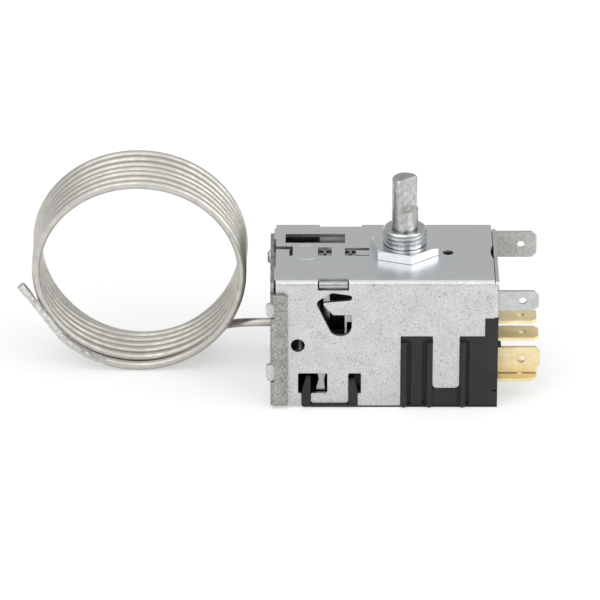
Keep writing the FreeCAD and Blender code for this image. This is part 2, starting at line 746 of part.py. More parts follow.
def make_inner_frame():
    """Plate under the slide, rolled into a barrel at the fold window, with an ear for the rivet."""
    top = frame_top
    foot = frame_foot
    left = end_inner + seat_gap
    barrel_left = fold_window_left + 0.3
    web_front = barrel_y + barrel_r
    plate = box(left, frame_right, web_front, frame_back, foot, top)
    hook_room = 1.5 + 0.6
    opening = box(long_slot[0] - 0.2, frame_right - 1, bellows_y - hook_room, long_slot[3] + 0.3,
                  foot - 1, top + 1)
    web = box(barrel_left, frame_right, web_front, web_front + frame_sheet, foot, barrel_z)
    neck = box(barrel_left, frame_right, barrel_y, web_front + frame_sheet, barrel_z - frame_sheet, barrel_z)
    barrel = rod(barrel_r, Vector(barrel_left, barrel_y, barrel_z), X_AXIS, frame_right - barrel_left)
    hollow = rod(barrel_core_r, Vector(barrel_left - 1, barrel_y, barrel_z), X_AXIS,
                 frame_right - barrel_left + 2)
    ear = box(left, left + frame_sheet, rivet_y - 3.5, rivet_y + 3.5, rivet_z - 2.4, top)
    ear = ear.cut(rod(rivet_r + seat_gap, Vector(left - 1, rivet_y, rivet_z), X_AXIS, 3))
    leg = box(*frame_leg, frame_leg_y, frame_leg_y + frame_sheet, frame_leg_foot, top)
    screw_hole = rod(screw_r + 0.02, Vector(screw_x, screw_y, foot - 1), Z_AXIS, 3)
    return fuse([plate.cut(opening), web, neck, barrel, ear, leg]).cut(hollow).cut(screw_hole)


def make_frame_rivet():
    """Rivet that joins the inner frame to the end plate, round head outside."""
    start = end_outer - 0.7
    inner_face = end_inner + seat_gap + frame_sheet
    shank = rod(rivet_r, Vector(end_outer, rivet_y, rivet_z), X_AXIS, inner_face - end_outer)
    head = rod(rivet_head_r, Vector(start, rivet_y, rivet_z), X_AXIS, 0.7)
    rims = [edge for edge in head.Edges if len(edge.Vertexes) == 1 and edge.BoundBox.XMax < start + 0.1]
    head = head.makeChamfer(0.5, rims)
    inner = rod(rivet_head_r - 0.3, Vector(inner_face, rivet_y, rivet_z), X_AXIS, 0.6)
    return fuse([shank, head, inner])


def make_calibration_screw():
    """Slotted screw that hangs from the inner frame and stops the main lever."""
    head_foot = frame_foot - 1.6
    shank = rod(screw_r, Vector(screw_x, screw_y, screw_tip), Z_AXIS, frame_top - screw_tip)
    head = rod(screw_r + 1.0, Vector(screw_x, screw_y, head_foot), Z_AXIS, 1.5)
    return fuse([shank, head])


def make_bellows_cup():
    """Drawn cup behind the bellows, open to the right."""
    centre = Vector(end_inner, bellows_y, bellows_z)
    cup = rod(cup_r, centre, X_AXIS, cup_depth)
    hollow = rod(cup_r - cup_wall, centre + Vector(cup_wall, 0, 0), X_AXIS, cup_depth)
    inlet = rod(tube_r + seat_gap, centre - Vector(1, 0, 0), X_AXIS, 3)
    return cup.cut(hollow).cut(inlet)


def bellows_start():
    """Left end of the bellows."""
    return end_inner + cup_wall + seat_gap


def make_bellows():
    """Corrugated capsule with a closed right end, fed by the capillary."""
    start = bellows_start()
    pitch = (bellows_length - 2 * bellows_wall) / (2 * convolutions)
    outer = []
    inner = []
    for i in range(2 * convolutions + 1):
        radius = bellows_r if i % 2 else bellows_inner_r
        along = start + bellows_wall + pitch * i
        outer.append((along, radius, 0))
        inner.append((along, radius - bellows_wall, 0))
    end = start + bellows_length
    profile = [(start, tube_r + seat_gap, 0), (start, bellows_inner_r, 0)] + outer
    profile += [(end, bellows_inner_r, 0), (end, 0, 0), (end - bellows_wall, 0, 0)]
    profile += inner[::-1] + [(start + bellows_wall, tube_r + seat_gap, 0)]
    face = outline(profile, lambda p: Vector(p.x, bellows_y, bellows_z + p.y))
    return face.revolve(Vector(0, bellows_y, bellows_z), X_AXIS, 360)


def make_thrust_pad():
    """Button between the end of the bellows and the main lever."""
    start = bellows_start() + bellows_length + moving_gap
    tip = lever_face - moving_gap
    disc = rod(pad_r, Vector(start, bellows_y, bellows_z), X_AXIS, 1.0)
    stem = rod(pad_stem_r, Vector(start, bellows_y, bellows_z), X_AXIS, tip - start)
    rims = [edge for edge in stem.Edges if len(edge.Vertexes) == 1 and edge.BoundBox.XMin > tip - 0.1]
    return fuse([disc, stem.makeChamfer(0.5, rims)])


def make_main_lever():
    """Upright channel on its pin: spring at the top, bellows in the middle, actuator finger, stop arm."""
    back_face = lever_face + lever_sheet
    web = box(lever_face, back_face, lever_front, lever_back, lever_web_foot, lever_web_top)
    neck = box(lever_face, back_face, bellows_y - 1.8, bellows_y + 1.8, lever_web_top - 0.5,
               lever_top)
    hole = rod(spring_wire_r + 0.3, Vector(lever_face - 1, bellows_y, spring_z), X_AXIS, 3)
    sides = []
    for near in (lever_front, lever_back - lever_sheet):
        side = plate_xz([
            (lever_face, lever_pin_z - 2.0, 1.2), (lever_pin_x + 2.0, lever_pin_z - 2.0, 1.6),
            (lever_pin_x + 2.0, lever_pin_z + 2.2, 1.6), (back_face + 1.2, lever_side_top, 0.8),
            (lever_face, lever_side_top, 0)], near, near + lever_sheet)
        sides.append(side)
    bore = rod(lever_pin_r + running_gap, Vector(lever_pin_x, lever_front - 1, lever_pin_z), Y_AXIS, 20)
    finger_tip = actuator_y + finger_reach
    finger = box(lever_face, back_face, finger_tip, lever_front + 0.1, actuator_z - 0.6, actuator_z + 0.6)
    arm_end = screw_x - screw_r - 0.2
    pad_top = screw_tip - moving_gap + lever_arm_rise()
    arm = box(arm_end, lever_face + 0.1, lever_front, lever_front + lever_sheet, pad_top - 2.6, pad_top)
    pad = box(arm_end, screw_x + screw_r + 0.2, lever_front, screw_y + screw_r + 0.2,
              pad_top - lever_sheet, pad_top)
    return fuse([web, neck.cut(hole), finger, arm, pad] + sides).cut(bore)


def lever_arm_rise():
    """How far below the screw the stop arm waits, as a negative height."""
    return -(lever_pin_x - screw_x) * math.sin(math.radians(lever_tilt))


def make_lever_pin():
    """Pin of the main lever, headed in front."""
    start = lever_front - bracket_side_gap - bracket_sheet
    end = lever_back + bracket_side_gap + bracket_sheet
    centre = Vector(lever_pin_x, start - 0.5, lever_pin_z)
    shank = rod(lever_pin_r, centre, Y_AXIS, end - start + 1.0)
    head = rod(lever_pin_r + 0.6, centre - Vector(0, 0.3, 0), Y_AXIS, 0.7)
    return fuse([shank, head])


def make_pivot_bracket():
    """Channel on the base floor that holds the lever's pin, with the foot seen in the clip window."""
    front = lever_front - bracket_side_gap - bracket_sheet
    back = lever_back + bracket_side_gap + bracket_sheet
    foot = base_floor + seat_gap
    floor = box(lever_pin_x - 5.0, lever_pin_x + 3.5, front, back, foot, foot + bracket_sheet)
    sides = []
    for near in (front, back - bracket_sheet):
        sides.append(plate_xz([
            (lever_pin_x - 3.0, foot, 0), (lever_pin_x + 3.0, foot, 0),
            (lever_pin_x + 3.0, lever_pin_z + 3.0, 2.2), (lever_pin_x - 3.0, lever_pin_z + 3.0, 2.2)],
            near, near + bracket_sheet))
    holes = rod(lever_pin_r + 0.02, Vector(lever_pin_x, front - 1, lever_pin_z), Y_AXIS, back - front + 2)
    strip_right = clip_window_mid - 0.3
    strip_left = strip_right - 2.0
    strip_front = front_inside + clip_gap + clip_root + clip_gap
    strip = box(strip_left, lever_pin_x - 4.5, strip_front, strip_front + 2.5, foot, foot + bracket_sheet)
    link = box(lever_pin_x - 6.5, lever_pin_x - 4.0, strip_front, front + 1, foot, foot + bracket_sheet)
    hook = plate_xz([
        (strip_left - 0.1, foot, 0), (strip_right, foot, 0), (strip_right - 0.5, 6.0, 0.8),
        (strip_right, clip_window_top, 0), (strip_left - 0.1, clip_window_top, 0),
        (strip_left + 0.4, 6.6, 0.8), (strip_left - 0.2, 4.2, 0.5)],
        strip_front, strip_front + bracket_sheet)
    return fuse([floor, strip, link, hook] + sides).cut(holes)


def make_range_spring():
    """Tension spring from the range slide to the main lever, with a straight hook at each end."""
    start = slide_left + slide_sheet + moving_gap + 1.2
    end = lever_face - moving_gap - 1.2
    steps = spring_turns * spring_corners
    path = []
    for i in range(steps + 1):
        turn = math.radians(360 / spring_corners * i)
        path.append(Vector(start + (end - start) * i / steps, bellows_y + spring_r * math.sin(turn),
                           spring_z - spring_r * math.cos(turn)))
    half = spring_wire_r * math.sqrt(math.pi) / 2
    corners = [path[0] + Vector(half * a, 0, half * b)
               for a, b in ((1, 1), (-1, 1), (-1, -1), (1, -1), (1, 1))]
    coil = Part.makePolygon(path).makePipeShell([Part.makePolygon(corners)], True, False, 1)
    pieces = [coil]
    for place, direction in ((start, -1), (end, 1)):
        pieces.append(rod(spring_wire_r, Vector(place, bellows_y, spring_z - spring_r), Z_AXIS, spring_r))
        pieces.append(rod(spring_wire_r, Vector(place, bellows_y, spring_z), X_AXIS * direction, 1.2 + 0.7))
    return pieces[0].multiFuse(pieces[1:])


def make_actuator():
    """White pushrod: tab seen in the front window, notch for the lever's finger, nose in the chamber."""
    half_width = actuator_width / 2
    half_height = actuator_height / 2
    bar = box(actuator_left, arm_x - moving_gap, actuator_y - half_width, actuator_y + half_width,
              actuator_z - half_height, actuator_z + half_height)
    tab = box(actuator_left, actuator_left + actuator_tab, actuator_y - half_width,
              actuator_y + half_width, actuator_z - half_height, actuator_tab_top)
    head = box(actuator_left, actuator_left + 1.8, actuator_y - half_width, actuator_y + half_width,
               actuator_tab_top - actuator_head, actuator_tab_top)
    notch = box(lever_face - moving_gap, lever_face + lever_sheet + moving_gap,
                actuator_y + finger_reach - moving_gap, actuator_y + 5, actuator_z - 3, actuator_z + 3)
    return fuse([bar, tab, head]).cut(notch)


def make_contact_arm():
    """Spring leaf with a rolled knuckle at its foot."""
    middle = arm_x + arm_thickness / 2
    knuckle_z = lower_blade_z + blade_thickness / 2
    y0 = blade_centre_y - arm_width / 2
    leaf = box(arm_x, arm_x + arm_thickness, y0, y0 + arm_width, knuckle_z, actuator_z + 1.4)
    knuckle = rod(arm_knuckle_r, Vector(middle, y0, knuckle_z), Y_AXIS, arm_width)
    return fuse([leaf, knuckle])


def contact_place():
    """Height of both contacts."""
    return actuator_z - 1.2


def make_moving_contact():
    """Silver contact on the arm."""
    return rod(contact_r, Vector(arm_x + arm_thickness, blade_centre_y, contact_place()), X_AXIS,
               contact_thickness)


def make_fixed_contact():
    """Silver contact on the upper terminal's leg."""
    return rod(contact_r, Vector(fixed_contact_x(), blade_centre_y, contact_place()), X_AXIS,
               contact_thickness)


def make_snap_spring():
    """Bowed leaf between the chamber wall and the contact arm."""
    wall = chamber[0]
    reach = (arm_x - moving_gap - wall - seat_gap) / 2
    centre = Vector(wall + seat_gap + reach, blade_centre_y - 2, actuator_z - contact_leg)
    ring = rod(reach, centre, Y_AXIS, 4).cut(rod(reach - 0.2, centre - Vector(0, 1, 0), Y_AXIS, 6))
    return ring.cut(box(centre.x - 5, centre.x + 5, centre.y - 1, centre.y + 6, centre.z - 5, centre.z - 0.4))


# Middle of the capillary from the end plate to the back of the coil's lowest stretch
lead_route = [
    (end_inner + cup_wall, bellows_y, bellows_z), (-33.3, bellows_y, bellows_z), (-36.9, 4.4, 11.0),
    (-39.9, 7.6, 9.1), (-42.2, 11.6, 6.6), (-44.9, 15.3, 4.3), (-48.8, 17.4, 2.5), (-53.5, 18.0, 1.5),
    (-58.2, 18.0, 1.2)]


def make_lead():
    """Capillary tube from the bellows to the coil: straight runs joined by tangent arcs."""
    points = [Vector(*p) for p in lead_route]
    edges = []
    start = points[0]
    for i in range(1, len(points) - 1):
        corner = points[i]
        back, ahead = points[i - 1] - corner, points[i + 1] - corner
        half = back.getAngle(ahead) / 2
        reach = 0.45 * min(back.Length, ahead.Length)
        radius = reach * math.tan(half)
        print(f"lead bend {i}: radius {radius:.1f} mm, turn {180 - 2 * math.degrees(half):.0f} degrees")
        back, ahead = back.normalize(), ahead.normalize()
        first, last = corner + back * reach, corner + ahead * reach
        middle = corner + (back + ahead).normalize() * (radius / math.sin(half) - radius)
        edges.append(Part.LineSegment(start, first).toShape())
        edges.append(Part.Arc(first, middle, last).toShape())
        start = last
    edges.append(Part.LineSegment(start, points[-1]).toShape())
    path = Part.Wire(edges)
    length = path.Length
    ring = Part.Wire([Part.Circle(points[0], points[1] - points[0], tube_r).toShape()])
    tube = path.makePipeShell([ring], True, False)
    share = tube.Volume / (math.pi * tube_r ** 2 * length)
    print(f"lead length {length:.1f} mm, volume over section times length {share:.4f}")
    return tube


def coil_axis():
    """Direction of the coil's axis, front to back."""
    lean = math.radians(coil_lean)
    return Vector(0, math.cos(lean), math.sin(lean))


def make_coil():
    """Outer shape of the coiled capillary: one closed ring."""
    axis = coil_axis()
    start = Vector(coil_x, coil_y, coil_z) + axis * coil_front
    ring = rod(coil_r + coil_wall, start, axis, coil_back - coil_front)
    return ring.cut(rod(coil_r - coil_wall, start - axis, axis, coil_back - coil_front + 2))


def make_tip():
    """Straight sealed end of the capillary, leaving the coil's front turn along its tangent."""
    lean = math.radians(coil_lean)
    up = Vector(0, -math.sin(lean), math.cos(lean))
    turn = math.radians(tip_angle)
    centre = Vector(coil_x, coil_y, coil_z) + coil_axis() * (coil_front + tube_r)
    start = centre - X_AXIS * (coil_r * math.sin(turn)) - up * (coil_r * math.cos(turn))
    direction = -X_AXIS * math.cos(turn) + up * math.sin(turn)
    return rod(tip_r, start, direction, tip_length)


def main():
    """Build every node and write it."""
    os.makedirs("parts", exist_ok=True)
    makers = {
        "housing": make_housing, "end_plate": make_end_plate, "switch_base": make_switch_base,
        "switch_cover": make_switch_cover, "upper_terminal": make_upper_terminal,
        "middle_terminal": make_middle_terminal, "lower_terminal": make_lower_terminal,
        "upright_terminal": make_upright_terminal, "backing_terminal": make_backing_terminal,
        "earth_tab": make_earth_tab, "bushing": make_bushing, "mounting_nut": make_nut,
        "spindle": make_spindle, "spindle_washer": make_spindle_washer, "cam": make_cam,
        "range_slide": make_range_slide, "inner_frame": make_inner_frame,
        "frame_rivet": make_frame_rivet, "calibration_screw": make_calibration_screw,
        "bellows_cup": make_bellows_cup, "bellows": make_bellows, "thrust_pad": make_thrust_pad,
        "main_lever": make_main_lever, "lever_pin": make_lever_pin,
        "pivot_bracket": make_pivot_bracket, "range_spring": make_range_spring,
        "actuator": make_actuator, "contact_arm": make_contact_arm,
        "moving_contact": make_moving_contact, "fixed_contact": make_fixed_contact,
        "snap_spring": make_snap_spring, "capillary_lead": make_lead, "capillary_coil": make_coil,
        "capillary_tip": make_tip}
    for name, make in makers.items():
        shape = make()
        print(f"{name}: {len(shape.Solids)} solid, {shape.Volume:.1f} mm3, valid {shape.isValid()}")
        shape.exportStep(f"parts/{name}.step")


main()
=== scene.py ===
"""Dressed model of a capillary thermostat: folded zinc-plated housing, black moulded switch base,
threaded bushing with a flatted spindle, brass blades and a long coiled capillary.

Metres, +Z up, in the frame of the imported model. The sub-assemblies hold their sizes in
millimetres, and MM turns them to metres where Blender takes them.
"""
import json
import logging
import math
from collections.abc import Callable
from dataclasses import dataclass
from enum import Enum
from functools import cache

import bpy
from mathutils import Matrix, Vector

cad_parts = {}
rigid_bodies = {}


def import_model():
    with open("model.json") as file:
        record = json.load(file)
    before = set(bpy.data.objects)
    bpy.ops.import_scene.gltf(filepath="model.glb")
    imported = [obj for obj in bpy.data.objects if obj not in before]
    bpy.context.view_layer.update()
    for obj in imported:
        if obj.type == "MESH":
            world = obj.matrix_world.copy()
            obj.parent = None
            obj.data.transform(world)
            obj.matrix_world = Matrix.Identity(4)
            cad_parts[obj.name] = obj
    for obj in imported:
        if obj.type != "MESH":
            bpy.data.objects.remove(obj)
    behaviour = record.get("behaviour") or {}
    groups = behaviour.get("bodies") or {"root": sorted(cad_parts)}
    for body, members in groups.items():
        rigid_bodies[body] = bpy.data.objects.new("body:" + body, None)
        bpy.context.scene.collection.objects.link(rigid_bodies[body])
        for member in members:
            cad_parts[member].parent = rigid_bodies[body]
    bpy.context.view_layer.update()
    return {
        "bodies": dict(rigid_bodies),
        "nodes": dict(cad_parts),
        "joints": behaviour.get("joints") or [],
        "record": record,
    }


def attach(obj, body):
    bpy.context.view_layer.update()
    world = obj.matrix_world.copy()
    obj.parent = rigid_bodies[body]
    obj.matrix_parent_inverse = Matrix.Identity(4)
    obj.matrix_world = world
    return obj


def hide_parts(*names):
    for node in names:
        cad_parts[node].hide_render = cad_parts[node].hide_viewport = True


MM = 0.001
WELD = 0.002 * MM                       # vertices closer than this are one
NOISE_LOW, NOISE_MIDDLE, NOISE_HIGH = 0.3, 0.5, 0.7     # where most of a noise's values lie
PAIR_LOW, PAIR_HIGH = 0.75, 1.25        # the same for the sum of two noises
SOFT, FINE = 2.0, 3.0                   # octaves of a soft noise and of a fine one
SHARE, NUMBER_A, NUMBER_B, COLOUR_A, COLOUR_B = 0, 2, 3, 6, 7       # inputs of a Mix node
MIXED = 2                               # its output where it mixes colours
LOG = logging.getLogger("thermostat")


class Body(Enum):
    """Moving and fixed bodies of the thermostat."""

    CASE = "case"
    SPINDLE = "spindle"
    SLIDE = "slide"
    LEVER = "lever"
    PAD = "pad"
    PUSHROD = "pushrod"
    ARM = "arm"


class Slot(Enum):
    """Material slots of the record."""

    HOUSING = "galvanised_sheet"
    END = "end_steel"
    MOULDING = "black_plastic"
    BRASS = "brass"
    TINNED = "tinned_blade"
    PLATED = "plated_steel"
    SPRING = "spring_steel"
    WHITE = "white_plastic"
    SILVER = "silver_contact"
    BELLOWS = "bellows_brass"
    TUBE = "capillary_metal"


class Pick(Enum):
    """What is chosen in edit mode."""

    VERTICES = "VERT"
    FACES = "FACE"


def linear(code: str) -> tuple[float, float, float, float]:
    """Turn an sRGB hex colour into linear light.

    Args:
        code: colour such as "#A0A4A6".

    Returns:
        Linear red, green, blue and an alpha of one.
    """
    parts = [int(code[i:i + 2], 16) / 255 for i in (1, 3, 5)]
    light = [p / 12.92 if p <= 0.04045 else ((p + 0.055) / 1.055) ** 2.4 for p in parts]
    return (light[0], light[1], light[2], 1.0)


def per_metre(size_mm: float) -> float:
    """Pattern scale whose features are about this many millimetres wide."""
    return 1 / (size_mm * MM)


def add_node(tree: bpy.types.NodeTree, kind: str, inputs: dict[str | int, object] | None = None,
             **settings: str | bool) -> bpy.types.Node:
    """Add one shader node with its settings and links.

    Args:
        tree: node tree that receives the node.
        kind: Blender's name for the node type.
        inputs: values or sockets by input name or index.
        settings: properties of the node.

    Returns:
        The new node.
    """
    node = tree.nodes.new(kind)
    for name, value in settings.items():
        setattr(node, name, value)
    for key, value in (inputs or {}).items():
        if isinstance(value, bpy.types.NodeSocket):
            tree.links.new(value, node.inputs[key])
        else:
            node.inputs[key].default_value = value
    return node


def new_material(name: str) -> tuple[bpy.types.Material, bpy.types.NodeTree, bpy.types.NodeSocket]:
    """Start a material with an empty tree and object coordinates.

    Args:
        name: name of the finish.

    Returns:
        The material, its tree and the socket of its object coordinates.
    """
    material = bpy.data.materials.new(name)
    material.use_nodes = True
    tree = material.node_tree
    tree.nodes.clear()
    place = add_node(tree, "ShaderNodeTexCoord").outputs["Object"]
    return material, tree, place


def finish_material(tree: bpy.types.NodeTree, inputs: dict[str, object]) -> None:
    """Close a tree with its shader and output.

    Args:
        tree: node tree of the material.
        inputs: values and sockets of the Principled shader.
    """
    shader = add_node(tree, "ShaderNodeBsdfPrincipled", inputs)
    add_node(tree, "ShaderNodeOutputMaterial", {"Surface": shader.outputs[0]})


@dataclass(frozen=True)
class PlatedSheet:
    """Zinc-plated cold-rolled sheet: a fine cloudy grain with small dark pits.

    Above the top face's height the sheet is glossier, and a lighter colour covers its grain and
    pits there: painted light on the top face.
    """

    name: str
    light: str
    dark: str
    pit: str
    roughness: float
    grain_mm: float = 0.45
    cloud_mm: float = 3.5
    cloudiness: float = 0.35            # weight of the clouds against the grain
    tone_spread: float = 0.2            # noise either side of the middle, from dark to light
    pit_mm: float = 0.5
    pit_share: float = 0.36             # noise below which a pit begins
    pit_rim: float = 0.06               # noise from a pit's rim to its floor
    pit_strength: float = 0.75
    gloss_spread: float = 0.05
    bump_mm: float = 0.012
    bump_strength: float = 0.55
    glossy_and_painted_top_above_mm: float = 1000.0
    glossy_and_painted_top_fade_mm: float = 0.4
    painted_top_light_share: float = 0.8           # how much of the painted lighter top colour covers the grain
    smooth_roughness: float = 0.33
    # painted light: the lighter colour of the top face
    painted_top_light_colour: str = "#DCDFE1"

    def build(self) -> bpy.types.Material:
        """Make the material.

        Returns:
            The material.
        """
        material, tree, place = new_material(self.name)
        grain = add_node(tree, "ShaderNodeTexNoise", {
            "Vector": place, "Scale": per_metre(self.grain_mm), "Detail": FINE, "Roughness": 0.65})
        cloud = add_node(tree, "ShaderNodeTexNoise", {
            "Vector": place, "Scale": per_metre(self.cloud_mm), "Detail": SOFT})
        blend = add_node(tree, "ShaderNodeMath", {
            0: cloud.outputs[0], 1: self.cloudiness, 2: grain.outputs[0]},
            operation="MULTIPLY_ADD")
        middle = NOISE_MIDDLE * (1 + self.cloudiness)
        share = add_node(tree, "ShaderNodeMapRange", {
            "Value": blend.outputs[0], "From Min": middle - self.tone_spread,
            "From Max": middle + self.tone_spread})
        tone = add_node(tree, "ShaderNodeMix", {
            SHARE: share.outputs[0], COLOUR_A: linear(self.dark), COLOUR_B: linear(self.light)},
            data_type="RGBA")
        pits = add_node(tree, "ShaderNodeTexNoise", {
            "Vector": place, "Scale": per_metre(self.pit_mm), "Detail": SOFT, "Roughness": 0.7})
        pitted = add_node(tree, "ShaderNodeMapRange", {
            "Value": pits.outputs[0], "From Min": self.pit_share,
            "From Max": self.pit_share - self.pit_rim, "To Max": self.pit_strength})
        height = add_node(tree, "ShaderNodeSeparateXYZ", {0: place})
        upper = add_node(tree, "ShaderNodeMapRange", {
            "Value": height.outputs[2],
            "From Min": (self.glossy_and_painted_top_above_mm - self.glossy_and_painted_top_fade_mm) * MM,
            "From Max": self.glossy_and_painted_top_above_mm * MM})
        spots = add_node(tree, "ShaderNodeMath", {0: pitted.outputs[0], 1: upper.outputs[0]},
                         operation="SUBTRACT", use_clamp=True)
        speckled = add_node(tree, "ShaderNodeMix", {
            SHARE: spots.outputs[0], COLOUR_A: tone.outputs[MIXED], COLOUR_B: linear(self.pit)},
            data_type="RGBA")
        # painted light: the top face is lightened over its grain and pits
        painted_top_light_mask = add_node(tree, "ShaderNodeMath", {0: upper.outputs[0], 1: self.painted_top_light_share},
                        operation="MULTIPLY")
        colour = add_node(tree, "ShaderNodeMix", {
            SHARE: painted_top_light_mask.outputs[0], COLOUR_A: speckled.outputs[MIXED],
            COLOUR_B: linear(self.painted_top_light_colour)}, data_type="RGBA")
        rough = add_node(tree, "ShaderNodeMapRange", {
            "Value": cloud.outputs[0], "From Min": NOISE_LOW, "From Max": NOISE_HIGH,
            "To Min": self.roughness - self.gloss_spread,
            "To Max": self.roughness + self.gloss_spread})
        gloss = add_node(tree, "ShaderNodeMix", {
            SHARE: upper.outputs[0], NUMBER_A: rough.outputs[0],
            NUMBER_B: self.smooth_roughness})
        bump = add_node(tree, "ShaderNodeBump", {
            "Height": grain.outputs[0], "Strength": self.bump_strength,
            "Distance": self.bump_mm * MM})
        finish_material(tree, {"Base Color": colour.outputs[MIXED], "Metallic": 1.0,
                               "Roughness": gloss.outputs[0], "Normal": bump.outputs[0]})
        return material


@dataclass(frozen=True)
class DrawnMetal:
    """Bare, plated or turned metal with fine lines along one direction and a light tarnish.

    line_mm gives the lines' size along X, Y and Z, so the longest of the three is their direction.
    """

    name: str
    light: str
    dark: str
    roughness: float
    line_mm: tuple[float, float, float]
    tarnish_mm: float = 2.5
    contrast: float = 0.8
    polish: float = 0.05                # how much glossier the brightest stretches are
    haze: float = 0.07                  # how much duller the tarnished stretches are
    bump_mm: float = 0.004
    bump_strength: float = 0.5

    def build(self) -> bpy.types.Material:
        """Make the material.

        Returns:
            The material.
        """
        material, tree, place = new_material(self.name)
        stretch = add_node(tree, "ShaderNodeMapping", {
            "Vector": place, "Scale": tuple(per_metre(size) for size in self.line_mm)})
        lines = add_node(tree, "ShaderNodeTexNoise", {
            "Vector": stretch.outputs[0], "Scale": 1.0, "Detail": FINE, "Roughness": 0.6})
        tarnish = add_node(tree, "ShaderNodeTexNoise", {
            "Vector": place, "Scale": per_metre(self.tarnish_mm), "Detail": FINE})
        blend = add_node(tree, "ShaderNodeMath", {
            0: lines.outputs[0], 1: tarnish.outputs[0]}, operation="ADD")
        share = add_node(tree, "ShaderNodeMapRange", {
            "Value": blend.outputs[0], "From Min": PAIR_LOW, "From Max": PAIR_HIGH,
            "To Max": self.contrast})
        colour = add_node(tree, "ShaderNodeMix", {
            SHARE: share.outputs[0], COLOUR_A: linear(self.light), COLOUR_B: linear(self.dark)},
            data_type="RGBA")
        rough = add_node(tree, "ShaderNodeMapRange", {
            "Value": blend.outputs[0], "From Min": PAIR_LOW, "From Max": PAIR_HIGH,
            "To Min": self.roughness - self.polish, "To Max": self.roughness + self.haze})
        bump = add_node(tree, "ShaderNodeBump", {
            "Height": lines.outputs[0], "Strength": self.bump_strength,
            "Distance": self.bump_mm * MM})
        finish_material(tree, {"Base Color": colour.outputs[MIXED], "Metallic": 1.0,
                               "Roughness": rough.outputs[0], "Normal": bump.outputs[0]})
        return material


@dataclass(frozen=True)
class Moulding:
    """Injection-moulded plastic with a fine spark-eroded skin that breaks up the gloss."""

    name: str
    colour: str
    shade: str
    roughness: float
    specular: float = 0.5
    grain_mm: float = 0.22
    flow_mm: float = 6.0                # size of the faint flow marks
    flow_spread: float = 0.15
    gloss_spread: float = 0.06
    bump_mm: float = 0.012
    bump_strength: float = 0.5

    def build(self) -> bpy.types.Material:
        """Make the material.

        Returns:
            The material.
        """
        material, tree, place = new_material(self.name)
        grain = add_node(tree, "ShaderNodeTexNoise", {
            "Vector": place, "Scale": per_metre(self.grain_mm), "Detail": SOFT})
        flow = add_node(tree, "ShaderNodeTexNoise", {
            "Vector": place, "Scale": per_metre(self.flow_mm), "Detail": SOFT})
        share = add_node(tree, "ShaderNodeMapRange", {
            "Value": flow.outputs[0], "From Min": NOISE_MIDDLE - self.flow_spread,
            "From Max": NOISE_MIDDLE + self.flow_spread})
        colour = add_node(tree, "ShaderNodeMix", {
            SHARE: share.outputs[0], COLOUR_A: linear(self.shade), COLOUR_B: linear(self.colour)},
            data_type="RGBA")
        rough = add_node(tree, "ShaderNodeMapRange", {
            "Value": grain.outputs[0], "From Min": NOISE_LOW, "From Max": NOISE_HIGH,
            "To Min": self.roughness - self.gloss_spread,
            "To Max": self.roughness + self.gloss_spread})
        bump = add_node(tree, "ShaderNodeBump", {
            "Height": grain.outputs[0], "Strength": self.bump_strength,
            "Distance": self.bump_mm * MM})
        finish_material(tree, {"Base Color": colour.outputs[MIXED], "Roughness": rough.outputs[0],
                               "Specular IOR Level": self.specular, "Normal": bump.outputs[0]})
        return material


Finish = PlatedSheet | DrawnMetal | Moulding


@cache
def material_of(finish: Finish) -> bpy.types.Material:
    """Material of a finish, made once and shared by the pieces that have it."""
    return finish.build()


# Electro-galvanised steel: satin grey under a fine speckle, glossier on the top, where a lighter
# colour is painted light. Its crystals are under 0.1 mm and are drawn at 0.45 mm, so that they
# show.
ZINC_SHEET = PlatedSheet("zinc_plated_sheet", "#D7D8D8", "#B4B6B7", "#6F7275", 0.42,
                         pit_share=0.375, glossy_and_painted_top_above_mm=31.48)
# Thicker, passivated zinc: warmer, darker and granular. Drawn coarser than it is, as above.
ZINC_END = PlatedSheet("passivated_zinc_sheet", "#BBB9B4", "#7A7874", "#55534F", 0.46,
                       grain_mm=0.42, pit_share=0.4, bump_mm=0.03)
# Glass-filled black polyamide, moulded: a dull black whose edges alone catch the light. The
# spark-eroded grain is about 0.05 mm and is drawn at 0.22 mm, so that it shows.
MOULDED_BLACK = Moulding("moulded_black_polyamide", "#222224", "#1C1C1E", 0.55, specular=0.36)
# Unfilled natural polyamide, moulded: milky white with a soft gloss.
MOULDED_WHITE = Moulding("moulded_natural_polyamide", "#FBFAF6", "#F2F1EB", 0.35)
# Brass strip, stamped: pale yellow with rolling lines along the blade.
STAMPED_BRASS = DrawnMetal("stamped_brass", "#F4E7C2", "#E4D2A0", 0.5, (4.0, 0.25, 0.25))
# Brass strip, hot-tinned: light grey with the same lines, filled by the tin.
TINNED_BRASS = DrawnMetal("tinned_blade", "#CACBCC", "#AFB0B0", 0.36, (2.5, 0.3, 0.3))
# Steel with bright nickel plate: nearly a mirror, so the floor shows in its facets.
NICKEL_PLATE = DrawnMetal("bright_nickel_plate", "#E9EBED", "#D8DADC", 0.16, (0.8, 0.8, 0.3),
                          contrast=0.5)
# Nickel over turned brass: a grey sheen with turning rings. The rings of a tool are about
# 0.03 mm apart and are drawn at 0.12 mm, so that they show.
TURNED_NICKEL = DrawnMetal("turned_nickel_plate", "#D6D8D9", "#A9ABAC", 0.24, (1.5, 1.5, 0.12))
# Free-cutting steel, drawn and milled: warm grey with streaks along the shaft.
TURNED_STEEL = DrawnMetal("turned_steel", "#CBCBC9", "#949493", 0.3, (0.3, 0.3, 2.2),
                          tarnish_mm=1.2)
# Hardened spring strip, rolled bright: dark grey and glossy.
SPRING_STRIP = DrawnMetal("rolled_spring_steel", "#B4B5B6", "#8E8F90", 0.2, (3.0, 0.3, 0.3))
